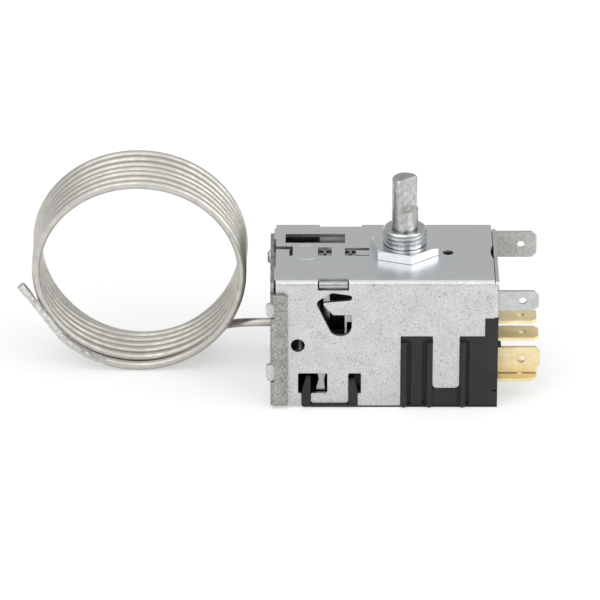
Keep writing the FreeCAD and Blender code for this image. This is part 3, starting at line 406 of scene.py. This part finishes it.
# Screw steel, brown-grey, its colour painted lighter than the steel is: painted light on the screw
# in the housing's shadow.
SCREW_STEEL_PAINTED_LIGHT = DrawnMetal("screw_steel_painted_light", "#D6CFC3", "#A89F92", 0.45, (0.6, 0.6, 0.3))
# Silver-nickel, pressed: white and matt.
SILVER_ALLOY = DrawnMetal("silver_contact_alloy", "#DCDCDA", "#BEBEBB", 0.35, (0.3, 0.3, 0.3))
# Deep-drawn brass, unplated: brown with the die's lines around it.
DRAWN_BRASS = DrawnMetal("drawn_bellows_brass", "#8B7A58", "#5E5138", 0.4, (0.3, 1.5, 1.5))
# Copper tube, tinned and drawn: soft creamy highlights and a faint cloudy tarnish, no lines.
DRAWN_TUBE = DrawnMetal("drawn_tinned_capillary", "#C8C6BF", "#B1AFA7", 0.4, (1.4, 1.4, 1.4),
                        contrast=0.6, bump_mm=0.0)
# The same tube after swaging: brighter, with facets that glint.
SWAGED_TUBE = DrawnMetal("swaged_tinned_end", "#DAD9D5", "#A6A5A1", 0.26, (0.7, 0.5, 0.5),
                         tarnish_mm=0.8, bump_mm=0.02)


def deselect_all() -> None:
    """Leave object mode clean, with nothing selected."""
    for item in bpy.context.selected_objects:
        item.select_set(False)


def make_active(item: bpy.types.Object) -> None:
    """Select one object alone and make it active.

    Args:
        item: the object.
    """
    deselect_all()
    item.select_set(True)
    bpy.context.view_layer.objects.active = item


def settle(item: bpy.types.Object, body: Body, finish: Finish,
           nodes: tuple[str, ...] = ()) -> bpy.types.Object:
    """Finish a piece and hang it on its body.

    Args:
        item: the piece, in place.
        body: body that carries it.
        finish: its finish.
        nodes: solids that it stands for.

    Returns:
        The piece.
    """
    item.data.materials.clear()
    item.data.materials.append(material_of(finish))
    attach(item, body.value)
    if nodes:
        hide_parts(*nodes)
    return item


def pick(item: bpy.types.Object, wanted: Callable[[Vector], bool], kind: Pick) -> None:
    """Enter edit mode with the vertices or faces chosen by their place.

    Args:
        item: the piece, in object mode.
        wanted: tells whether a vertex or a face centre at that place is chosen.
        kind: what is chosen.
    """
    make_active(item)
    bpy.ops.object.mode_set(mode="EDIT")
    bpy.ops.mesh.select_mode(type=kind.value)
    bpy.ops.mesh.select_all(action="DESELECT")
    bpy.ops.object.mode_set(mode="OBJECT")
    if kind is Pick.FACES:
        for face in item.data.polygons:
            face.select = wanted(face.center)
    else:
        for vertex in item.data.vertices:
            vertex.select = wanted(vertex.co)
    bpy.ops.object.mode_set(mode="EDIT")


def eased(share: float) -> float:
    """Smooth step from 0 to 1."""
    share = min(1.0, max(0.0, share))
    return share * share * (3 - 2 * share)


@dataclass(frozen=True)
class Softbox:
    """Square area lamp."""

    name: str
    place_m: tuple[float, float, float]
    watts: float
    side_m: float


@dataclass
class Studio:
    """White paper, a soft dome, two softboxes and the camera of the picture."""

    eye_mm: tuple[float, float, float] = (-23.8, -1066.94, 539.24)
    downward_deg: float = 26.0
    lens_mm: float = 312.0
    sensor_mm: float = 36.0
    sight_m: float = 10.0
    floor_half_m: float = 1.5
    floor_drop_m: float = 0.0001        # keeps the floor clear of the base
    floor_glow: float = 0.5             # share of plain white that the camera sees in the floor
    horizon_light: float = 0.95
    band_light: float = 0.5             # grey band that the housing's top reflects
    band_up: tuple[float, float] = (0.02, 0.3)
    crown_light: float = 0.55           # added overhead
    crown_up: tuple[float, float] = (0.55, 0.85)
    aim_m: tuple[float, float, float] = (-0.02, 0, 0.02)
    softboxes: tuple[Softbox, ...] = (
        Softbox("key_softbox", (-0.55, -0.75, 0.95), 7.0, 1.4),
        Softbox("fill_softbox", (0.8, -0.45, 0.5), 6.0, 1.1))

    def build(self) -> None:
        """Make the floor, the world, the lamps and the camera."""
        self.make_floor()
        self.make_world()
        self.make_lamps()
        self.make_camera()

    def make_floor(self) -> None:
        """Lay the pale floor under the thermostat."""
        deselect_all()
        bpy.ops.mesh.primitive_plane_add(size=2 * self.floor_half_m,
                                         location=(0, 0, -self.floor_drop_m))
        floor = bpy.context.active_object
        floor.name = "studio_floor"
        material, tree, _ = new_material("matt_white_paper")
        paper = add_node(tree, "ShaderNodeBsdfDiffuse", {"Color": linear("#FAFAFA")})
        glow = add_node(tree, "ShaderNodeEmission", {"Color": linear("#FFFFFF")})
        path = add_node(tree, "ShaderNodeLightPath")
        share = add_node(tree, "ShaderNodeMath", {
            0: path.outputs["Is Camera Ray"], 1: self.floor_glow}, operation="MULTIPLY")
        mixed = add_node(tree, "ShaderNodeMixShader", {
            0: share.outputs[0], 1: paper.outputs[0], 2: glow.outputs[0]})
        add_node(tree, "ShaderNodeOutputMaterial", {"Surface": mixed.outputs[0]})
        floor.data.materials.append(material)

    def make_world(self) -> None:
        """Light the scene from a pale dome with a grey band above the horizon."""
        world = bpy.data.worlds.new("soft_dome")
        world.use_nodes = True
        tree = world.node_tree
        tree.nodes.clear()
        way = add_node(tree, "ShaderNodeTexCoord").outputs["Generated"]
        up = add_node(tree, "ShaderNodeSeparateXYZ", {0: way}).outputs[2]
        low = add_node(tree, "ShaderNodeMapRange", {
            "Value": up, "From Min": self.band_up[0], "From Max": self.band_up[1],
            "To Min": self.horizon_light, "To Max": self.band_light},
            interpolation_type="SMOOTHSTEP")
        high = add_node(tree, "ShaderNodeMapRange", {
            "Value": up, "From Min": self.crown_up[0], "From Max": self.crown_up[1],
            "To Min": 0.0, "To Max": self.crown_light}, interpolation_type="SMOOTHSTEP")
        dome = add_node(tree, "ShaderNodeMath", {0: low.outputs[0], 1: high.outputs[0]},
                        operation="ADD")
        path = add_node(tree, "ShaderNodeLightPath")
        seen = add_node(tree, "ShaderNodeMath", {
            0: path.outputs["Is Camera Ray"], 1: path.outputs["Is Transmission Ray"]},
            operation="MAXIMUM")
        strength = add_node(tree, "ShaderNodeMix", {
            SHARE: seen.outputs[0], NUMBER_A: dome.outputs[0], NUMBER_B: 1.0})
        back = add_node(tree, "ShaderNodeBackground", {
            "Color": (1, 1, 1, 1), "Strength": strength.outputs[0]})
        add_node(tree, "ShaderNodeOutputWorld", {"Surface": back.outputs[0]})
        bpy.context.scene.world = world

    def make_lamps(self) -> None:
        """Hang a soft key lamp at the left front and a weaker fill at the right."""
        for softbox in self.softboxes:
            deselect_all()
            ray = Vector(self.aim_m) - Vector(softbox.place_m)
            bpy.ops.object.light_add(type="AREA", location=softbox.place_m,
                                     rotation=ray.to_track_quat("-Z", "Y").to_euler())
            lamp = bpy.context.active_object
            lamp.name = softbox.name
            lamp.data.energy = softbox.watts
            lamp.data.size = softbox.side_m

    def make_camera(self) -> None:
        """Place the long-lens camera that looks down on the front."""
        deselect_all()
        place = [value * MM for value in self.eye_mm]
        bpy.ops.object.camera_add(location=place,
                                  rotation=(math.radians(90 - self.downward_deg), 0, 0))
        camera = bpy.context.active_object
        camera.data.lens = self.lens_mm
        camera.data.sensor_width = self.sensor_mm
        camera.data.clip_end = self.sight_m
        bpy.context.scene.camera = camera


@dataclass(frozen=True)
class Plain:
    """Solid that is dressed as it is, with broken edges and a finish."""

    node: str
    name: str
    body: Body
    slot: Slot
    finish: Finish
    edge_mm: float = 0.0


@dataclass
class Dresser:
    """Gives solids of the frame broken edges and smooth shading."""

    frame: dict
    smooth_deg: float = 28.0
    flat_deg: float = 0.5               # faces that meet at less are one flat face
    sharp_deg: float = 35.0             # edges that turn by more are broken
    edge_steps: int = 2

    def merged_copy(self, node: str, name: str) -> bpy.types.Object:
        """Copy a node's mesh, join its loose triangles and dissolve its flat faces.

        Args:
            node: name of the solid.
            name: name of the copy.

        Returns:
            The copy, with nothing applied yet.
        """
        source = self.frame["nodes"][node]
        copy = bpy.data.objects.new(name, source.data.copy())
        bpy.context.scene.collection.objects.link(copy)
        make_active(copy)
        bpy.ops.object.mode_set(mode="EDIT")
        bpy.ops.mesh.select_all(action="SELECT")
        bpy.ops.mesh.customdata_custom_splitnormals_clear()
        bpy.ops.mesh.remove_doubles(threshold=WELD)
        bpy.ops.mesh.dissolve_limited(angle_limit=math.radians(self.flat_deg))
        bpy.ops.object.mode_set(mode="OBJECT")
        return copy

    def break_edges(self, piece: bpy.types.Object, edge_mm: float) -> None:
        """Bevel the sharp edges of the active piece.

        Args:
            piece: the piece.
            edge_mm: width of the broken edge, none at zero.
        """
        if edge_mm:
            bevel = piece.modifiers.new("broken_edge", "BEVEL")
            bevel.width = edge_mm * MM
            bevel.segments = self.edge_steps
            bevel.limit_method = "ANGLE"
            bevel.angle_limit = math.radians(self.sharp_deg)
            bevel.use_clamp_overlap = True
            bpy.ops.object.modifier_apply(modifier=bevel.name)

    def smooth(self, piece: bpy.types.Object) -> None:
        """Shade the active piece smooth and keep its flats flat.

        Args:
            piece: the piece.
        """
        bpy.ops.object.shade_smooth_by_angle(angle=math.radians(self.smooth_deg))
        flats = piece.modifiers.new("flat_faces_stay_flat", "WEIGHTED_NORMAL")
        flats.keep_sharp = True
        bpy.ops.object.modifier_apply(modifier=flats.name)

    def dress(self, plain: Plain) -> bpy.types.Object:
        """Stand a copy with broken edges in place of a solid.

        Args:
            plain: the solid and what it gets.

        Returns:
            The finished piece.
        """
        piece = self.merged_copy(plain.node, plain.name)
        self.break_edges(piece, plain.edge_mm)
        self.smooth(piece)
        return settle(piece, plain.body, plain.finish, (plain.node,))


@dataclass(frozen=True)
class Settling:
    """How far one turn has sunk at its lowest point, as the coil stands on the floor."""

    turn: int
    forward: float
    down: float


@dataclass(frozen=True)
class Pinch:
    """Waist that the swaging rolls leave, measured back from the tube's end."""

    place: float
    width: float
    depth: float


@dataclass
class Capillary:
    """Thin tube from the bellows to its own coil, with a swaged straight end.

    Sizes in millimetres. The lead's points are those of the solid tube's route. Turns are counted
    from the lowest point of the rear turn, and run bottom, left, top, right.
    """

    tube_r: float = 1.0
    coil_r: float = 23.5
    coil_rise: float = 22.73            # half the coil's height, to the middle of the tube
    coil_centre: tuple[float, float, float] = (-60.5, 1.7, 25.16)
    lean_deg: float = 3.5
    first_along: float = 15.12          # rear turn's place along the coil's axis
    pitch: float = 2.368
    front_pitch: float = 1.145
    front_turn: float = 6.5
    front_drop: float = 1.42
    drop_from: float = 6.75             # turns, as is drop_over
    drop_over: float = 0.25
    rear_slack: float = 0.3
    slack_turns: float = 3.0
    top_slack: tuple[float, ...] = (0.1, 0.15, 0.23, 0.14, -0.07, 0.02, -0.03, 0.0)
    settled: tuple[Settling, ...] = (
        Settling(0, 0.5, 2.1), Settling(1, 0.2, 1.35), Settling(6, 0.0, 0.25))
    end_turn_deg: float = 2570.0
    points_per_turn: int = 24
    steps_per_point: int = 6
    tube_steps: int = 5                 # more steps make the tube rounder
    skin_steps: int = 2
    tip_length: float = 15.6
    tip_rise_deg: float = 54.6
    tip_ease: float = 0.45              # share of the tip where its curve has become straight
    core_share: float = 0.8             # tube's thickness inside the swaged skin
    swaged_length: float = 27.0
    swaged_r: float = 1.0
    spacing: float = 0.5                # between the rings of the swaged skin
    pinches: tuple[Pinch, ...] = (Pinch(4.2, 0.9, 0.2), Pinch(7.2, 0.6, 0.14))
    cap_length: float = 2.6
    cap_swell: float = 0.06
    dent_size: float = 1.1
    dent_depth: float = 0.22
    dent_smooth_deg: float = 20.0
    lead: tuple[tuple[float, float, float], ...] = (
        (-29.1, 3.0, 11.77), (-33.3, 3.0, 11.77), (-36.9, 4.4, 11.0), (-39.9, 7.6, 9.1),
        (-42.2, 11.6, 6.6), (-44.9, 15.3, 4.3), (-48.8, 17.4, 2.5), (-53.5, 18.0, 1.5))

    def coil_point(self, turn_deg: float, swell: float = 1.0) -> Vector:
        """Point of the winding, which leans forward, is looser at the rear and rests on the floor.

        Args:
            turn_deg: degrees wound since the lowest point of the rear turn.
            swell: share of the turn's radius.

        Returns:
            The point, in millimetres.
        """
        turns = turn_deg / 360
        turn = math.radians(turn_deg)
        lean = math.radians(self.lean_deg)
        along = (self.first_along - self.pitch * min(turns, self.front_turn)
                 - self.front_pitch * max(0.0, turns - self.front_turn))
        low = max(0.0, math.cos(turn)) ** 2
        high = max(0.0, -math.cos(turn)) ** 2
        slack = (self.rear_slack * max(0.0, 1 - turns / self.slack_turns)
                 - self.top_slack[int(turns)] * high)
        rise = -(self.coil_rise + slack) * swell * math.cos(turn)
        x = -(self.coil_r + slack) * swell * math.sin(turn)
        y = along * math.cos(lean) - rise * math.sin(lean)
        z = along * math.sin(lean) + rise * math.cos(lean)
        z -= self.front_drop * eased((turns - self.drop_from) / self.drop_over)
        for sunk in self.settled:
            if sunk.turn == round(turns):
                y -= sunk.forward * low
                z -= sunk.down * low
        return Vector(self.coil_centre) + Vector((x, y, z))

    def route(self) -> list[tuple[Vector, float]]:
        """Control points of the whole tube.

        Returns:
            Points in millimetres, each with the tube's thickness as a share of its radius.
        """
        step = 360 / self.points_per_turn
        swell = 1 / math.cos(math.radians(step / 2))    # control points lie outside their curve
        points = [(Vector(place), 1.0) for place in self.lead]
        count = int(self.end_turn_deg / step)
        sleeve = math.degrees((self.swaged_length - self.tip_length) / self.coil_r)
        for i in range(count + 1):
            turn = i * step
            inside = turn > self.end_turn_deg - sleeve
            points.append((self.coil_point(turn, swell), self.core_share if inside else 1.0))
        leave = self.coil_point(self.end_turn_deg)
        rise = math.radians(self.tip_rise_deg)
        tip = Vector((-math.cos(rise), 0, math.sin(rise))) * self.tip_length
        for share in (0.0, self.tip_ease, 1.0):
            points.append((leave + tip * share, self.core_share))
        return points

    def build(self) -> list[bpy.types.Object]:
        """Returns:
            The tube and its end.
        """
        points = self.route()
        curve = bpy.data.curves.new("capillary_tube", "CURVE")
        curve.dimensions = "3D"
        spline = curve.splines.new("NURBS")
        spline.points.add(len(points) - 1)
        for target, (place, thick) in zip(spline.points, points):
            target.co = (*(place * MM), 1.0)
            target.radius = thick
        spline.order_u = 3
        spline.use_endpoint_u = True
        spline.resolution_u = self.steps_per_point
        tube = bpy.data.objects.new("capillary", curve)
        bpy.context.scene.collection.objects.link(tube)
        line = bpy.data.meshes.new_from_object(tube)
        centres = [vertex.co.copy() for vertex in line.vertices]
        curve.bevel_depth = self.tube_r * MM
        curve.bevel_resolution = self.tube_steps
        curve.use_fill_caps = True
        settle(tube, Body.CASE, DRAWN_TUBE,
               ("capillary_lead", "capillary_coil", "capillary_tip"))
        end = self.swage(centres)
        return [tube, end]

    def swage(self, centres: list[Vector]) -> bpy.types.Object:
        """Make the swaged end: a dented skin over the last stretch, pinched near its tip.

        Args:
            centres: points of the tube's middle, in metres, in order.

        Returns:
            The piece.
        """
        taken, run = [centres[-1]], 0.0
        for a, b in zip(reversed(centres[:-1]), reversed(centres)):
            steps = max(1, round((b - a).length / (self.spacing * MM)))
            taken.extend(b.lerp(a, (i + 1) / steps) for i in range(steps))
            run += (b - a).length
            if run > self.swaged_length * MM:
                break
        curve = bpy.data.curves.new("swaged_end", "CURVE")
        curve.dimensions = "3D"
        spline = curve.splines.new("POLY")
        spline.points.add(len(taken) - 1)
        run = 0.0
        for i, (target, place) in enumerate(zip(spline.points, taken)):
            run += (place - taken[i - 1]).length / MM if i else 0.0
            target.co = (*place, 1.0)
            waist = sum(pinch.depth * math.exp(-((run - pinch.place) / pinch.width) ** 2)
                        for pinch in self.pinches)
            target.radius = 1.0 - waist + (self.cap_swell if run < self.cap_length else 0.0)
        curve.bevel_depth = self.swaged_r * MM
        curve.bevel_resolution = self.skin_steps
        curve.use_fill_caps = True
        skin = bpy.data.objects.new("swaged_end", curve)
        bpy.context.scene.collection.objects.link(skin)
        make_active(skin)
        bpy.ops.object.convert(target="MESH")
        bpy.ops.object.mode_set(mode="EDIT")
        bpy.ops.mesh.select_all(action="SELECT")
        bpy.ops.mesh.remove_doubles(threshold=WELD)
        bpy.ops.mesh.subdivide(number_cuts=1)
        bpy.ops.object.mode_set(mode="OBJECT")
        dents = bpy.data.textures.new("swaging_dents", "CLOUDS")
        dents.noise_scale = self.dent_size * MM
        hammer = skin.modifiers.new("hammered", "DISPLACE")
        hammer.texture = dents
        hammer.texture_coords = "LOCAL"
        hammer.strength = self.dent_depth * MM
        hammer.mid_level = NOISE_MIDDLE
        bpy.ops.object.modifier_apply(modifier=hammer.name)
        bpy.ops.object.shade_smooth_by_angle(angle=math.radians(self.dent_smooth_deg))
        return settle(skin, Body.CASE, SWAGED_TUBE)


@dataclass(frozen=True)
class LegSide:
    """Outer side of one leg of the clip: its place, its top and how far the top moves inwards."""

    x: float
    top: float
    shift: float


@dataclass
class Enclosure:
    """Folded housing, wrapped end plate and the moulded switch base with its cover.

    Sizes in millimetres.
    """

    dresser: Dresser
    sheet_edge: float = 0.09
    moulding_edge: float = 0.12
    top_z: float = 31.5
    emboss_share: float = 0.3           # what is left of the embossing's height
    clip_sides: tuple[LegSide, ...] = (LegSide(-23.4, 7.6, 1.0), LegSide(-10.8, 6.9, -0.6))
    clip_back: float = -14.0
    clip_rounding: float = 0.6
    clip_steps: int = 4
    leg_half: float = 1.0
    leg_foot: float = 0.3               # faces below belong to the floor of the base
    taper_foot: float = 4.2
    side_reach: float = 0.45
    play: float = 0.02

    def build(self) -> list[bpy.types.Object]:
        """Dress the sheets and the mouldings.

        Returns:
            The pieces.
        """
        return [
            self.build_housing(),
            self.dresser.dress(Plain("end_plate", "end_plate_sheet", Body.CASE, Slot.END, ZINC_END,
                                     self.sheet_edge)),
            self.build_base(),
            self.dresser.dress(Plain("switch_cover", "switch_cover_moulding", Body.CASE,
                                     Slot.MOULDING, MOULDED_BLACK, self.moulding_edge))]

    def build_housing(self) -> bpy.types.Object:
        """Dress the folded housing and press its round embossing flatter.

        Returns:
            The piece.
        """
        housing = self.dresser.merged_copy("housing", "housing_sheet")
        for vertex in housing.data.vertices:
            proud = vertex.co.z - self.top_z * MM
            if proud > self.play * MM / 2:
                vertex.co.z -= proud * (1 - self.emboss_share)
        self.dresser.break_edges(housing, self.sheet_edge)
        self.dresser.smooth(housing)
        return settle(housing, Body.CASE, ZINC_SHEET, ("housing",))

    def build_base(self) -> bpy.types.Object:
        """Dress the switch base, with the clip's legs tapered and its lower corners rounded.

        Returns:
            The piece.
        """
        base = self.dresser.merged_copy("switch_base", "switch_base_moulding")
        for side in self.clip_sides:
            self.taper(base, side)
        self.round_clip(base)
        self.dresser.break_edges(base, self.moulding_edge)
        self.dresser.smooth(base)
        return settle(base, Body.CASE, MOULDED_BLACK, ("switch_base",))

    def taper(self, base: bpy.types.Object, side: LegSide) -> None:
        """Slant the upper part of one side of a clip leg.

        Args:
            base: the switch base, merged.
            side: the leg's side.
        """
        centre_x = side.x + math.copysign(self.leg_half, side.shift)
        pick(base, lambda c: abs(c.x - centre_x * MM) < (self.leg_half + self.play) * MM
             and c.y < self.clip_back * MM and c.z > self.leg_foot * MM, Pick.FACES)
        bpy.ops.mesh.bisect(plane_co=(0, 0, self.taper_foot * MM), plane_no=(0, 0, 1))
        bpy.ops.object.mode_set(mode="OBJECT")
        for vertex in base.data.vertices:
            near = abs(vertex.co.x - side.x * MM) < self.side_reach * MM
            above = vertex.co.z > self.taper_foot * MM
            if near and above and vertex.co.y < self.clip_back * MM:
                share = (vertex.co.z / MM - self.taper_foot) / (side.top - self.taper_foot)
                vertex.co.x += side.shift * MM * share

    def round_clip(self, base: bpy.types.Object) -> None:
        """Round the lower corners of the clip where it stands proud of the panel.

        Args:
            base: the switch base, merged.
        """
        pick(base, lambda c: c.y < self.clip_back * MM and c.z < self.play * MM
             and min(abs(c.x - side.x * MM) for side in self.clip_sides) < self.play * MM,
             Pick.VERTICES)
        bpy.ops.mesh.bevel(offset=self.clip_rounding * MM, segments=self.clip_steps,
                           affect="EDGES")
        bpy.ops.object.mode_set(mode="OBJECT")


@dataclass
class Terminals:
    """Brass blades, the tinned earth blade and the contacts. Sizes in millimetres."""

    dresser: Dresser
    blade_edge: float = 0.07
    contact_edge: float = 0.15

    def build(self) -> list[bpy.types.Object]:
        """Dress the blades and contacts.

        Returns:
            The pieces.
        """
        plains = [Plain(node, f"{node}_blade", Body.CASE, Slot.BRASS, STAMPED_BRASS,
                        self.blade_edge)
                  for node in ("upper_terminal", "middle_terminal", "lower_terminal",
                               "upright_terminal", "backing_terminal")]
        plains += [
            Plain("earth_tab", "earth_tab_blade", Body.CASE, Slot.TINNED, TINNED_BRASS,
                  self.blade_edge),
            Plain("moving_contact", "moving_contact_button", Body.ARM, Slot.SILVER, SILVER_ALLOY,
                  self.contact_edge),
            Plain("fixed_contact", "fixed_contact_button", Body.CASE, Slot.SILVER, SILVER_ALLOY,
                  self.contact_edge)]
        return [self.dresser.dress(plain) for plain in plains]


@dataclass
class SpindleGroup:
    """Spindle, bushing, nut, washer and cam. Sizes in millimetres."""

    dresser: Dresser
    nut_edge: float = 0.2
    turned_edge: float = 0.06
    thread_pitch: float = 1.0
    thread_foot: float = 34.0
    thread_turns: int = 4
    thread_root_r: float = 4.42
    thread_depth: float = 0.7
    steps_per_turn: int = 48

    def build(self) -> list[bpy.types.Object]:
        """Dress the turned pieces.

        Returns:
            The pieces.
        """
        plains = (
            Plain("mounting_nut", "mounting_nut_bright", Body.CASE, Slot.PLATED, NICKEL_PLATE,
                  self.nut_edge),
            Plain("spindle", "spindle_turned", Body.SPINDLE, Slot.PLATED, TURNED_STEEL,
                  self.turned_edge),
            Plain("spindle_washer", "spindle_washer_ring", Body.CASE, Slot.PLATED, NICKEL_PLATE,
                  self.turned_edge),
            Plain("cam", "range_cam", Body.SPINDLE, Slot.SPRING, SPRING_STRIP, self.turned_edge))
        return [self.build_bushing(), *(self.dresser.dress(plain) for plain in plains)]

    def build_bushing(self) -> bpy.types.Object:
        """Cut the M10 x 1 thread into the bushing, as a lathe tool would.

        Returns:
            The piece.
        """
        bushing = self.dresser.merged_copy("bushing", "bushing_turned")
        tool = self.thread_tool()
        make_active(bushing)
        cut = bushing.modifiers.new("thread", "BOOLEAN")
        cut.operation = "DIFFERENCE"
        cut.solver = "EXACT"
        cut.object = tool
        bpy.ops.object.modifier_apply(modifier=cut.name)
        bpy.data.objects.remove(tool)
        bpy.ops.object.shade_smooth_by_angle(angle=math.radians(self.dresser.smooth_deg))
        return settle(bushing, Body.CASE, TURNED_NICKEL, ("bushing",))

    def thread_tool(self) -> bpy.types.Object:
        """Sweep a triangle that points at the axis along the thread's helix.

        Returns:
            The closed helix, to be cut away and removed.
        """
        tool_r = self.thread_depth / 1.5        # a triangle is 1.5 radii high
        centre = ((self.thread_root_r + tool_r) * MM, 0, self.thread_foot * MM)
        deselect_all()
        bpy.ops.mesh.primitive_circle_add(vertices=3, radius=tool_r * MM, location=centre,
                                          rotation=(math.radians(90), 0, 0))
        tool = bpy.context.active_object
        bpy.ops.object.transform_apply(location=True, rotation=True, scale=True)
        bpy.ops.object.mode_set(mode="EDIT")
        bpy.ops.mesh.select_all(action="SELECT")
        bpy.ops.transform.rotate(value=math.radians(90), orient_axis="Y", center_override=centre)
        bpy.ops.object.mode_set(mode="OBJECT")
        sweep = tool.modifiers.new("lead_screw", "SCREW")
        sweep.angle = math.radians(360 * self.thread_turns)
        sweep.screw_offset = self.thread_pitch * self.thread_turns * MM
        sweep.steps = sweep.render_steps = self.steps_per_turn * self.thread_turns
        bpy.ops.object.modifier_apply(modifier=sweep.name)
        bpy.ops.object.mode_set(mode="EDIT")
        bpy.ops.mesh.select_all(action="SELECT")
        bpy.ops.mesh.fill_holes(sides=0)
        bpy.ops.mesh.normals_make_consistent(inside=False)
        bpy.ops.object.mode_set(mode="OBJECT")
        return tool


@dataclass
class Mechanism:
    """What works inside: frame, slide, lever, springs, bellows and pushrod."""

    dresser: Dresser
    pressed_edge_mm: float = 0.05
    pushrod_edge_mm: float = 0.08

    def build(self) -> list[bpy.types.Object]:
        """Dress the inner pieces.

        Returns:
            The pieces.
        """
        edge = self.pressed_edge_mm
        plains = [Plain(node, f"{node}_steel", body, Slot.SPRING, SPRING_STRIP) for node, body in (
            ("range_slide", Body.SLIDE), ("inner_frame", Body.CASE), ("main_lever", Body.LEVER),
            ("pivot_bracket", Body.CASE), ("contact_arm", Body.ARM), ("snap_spring", Body.CASE),
            ("range_spring", Body.CASE))]
        plains += [Plain(node, f"{node}_plated", Body.CASE, Slot.PLATED, NICKEL_PLATE, edge)
                   for node in ("frame_rivet", "lever_pin")]
        plains += [
            # the calibration screw's light colour is painted light, for its place in the housing's
            # shadow
            Plain("calibration_screw", "calibration_screw_blacked", Body.CASE, Slot.PLATED,
                  SCREW_STEEL_PAINTED_LIGHT, edge),
            Plain("bellows_cup", "bellows_cup_drawn", Body.CASE, Slot.END, ZINC_END, edge),
            Plain("bellows", "bellows_capsule", Body.CASE, Slot.BELLOWS, DRAWN_BRASS),
            Plain("thrust_pad", "thrust_pad_moulded", Body.PAD, Slot.MOULDING, MOULDED_BLACK, edge),
            Plain("actuator", "actuator_pushrod", Body.PUSHROD, Slot.WHITE, MOULDED_WHITE,
                  self.pushrod_edge_mm)]
        return [self.dresser.dress(plain) for plain in plains]


def main() -> None:
    """Build the dressed thermostat in its studio and log its pieces."""
    logging.basicConfig(level=logging.INFO, format="%(message)s")
    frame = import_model()
    bpy.context.scene.view_settings.view_transform = "Standard"
    dresser = Dresser(frame)
    Studio().build()
    for group in (Capillary(), Enclosure(dresser), Terminals(dresser), SpindleGroup(dresser),
                  Mechanism(dresser)):
        for piece in group.build():
            LOG.info("%s: %s", type(group).__name__, piece.name)


if __name__ == "__main__":
    main()
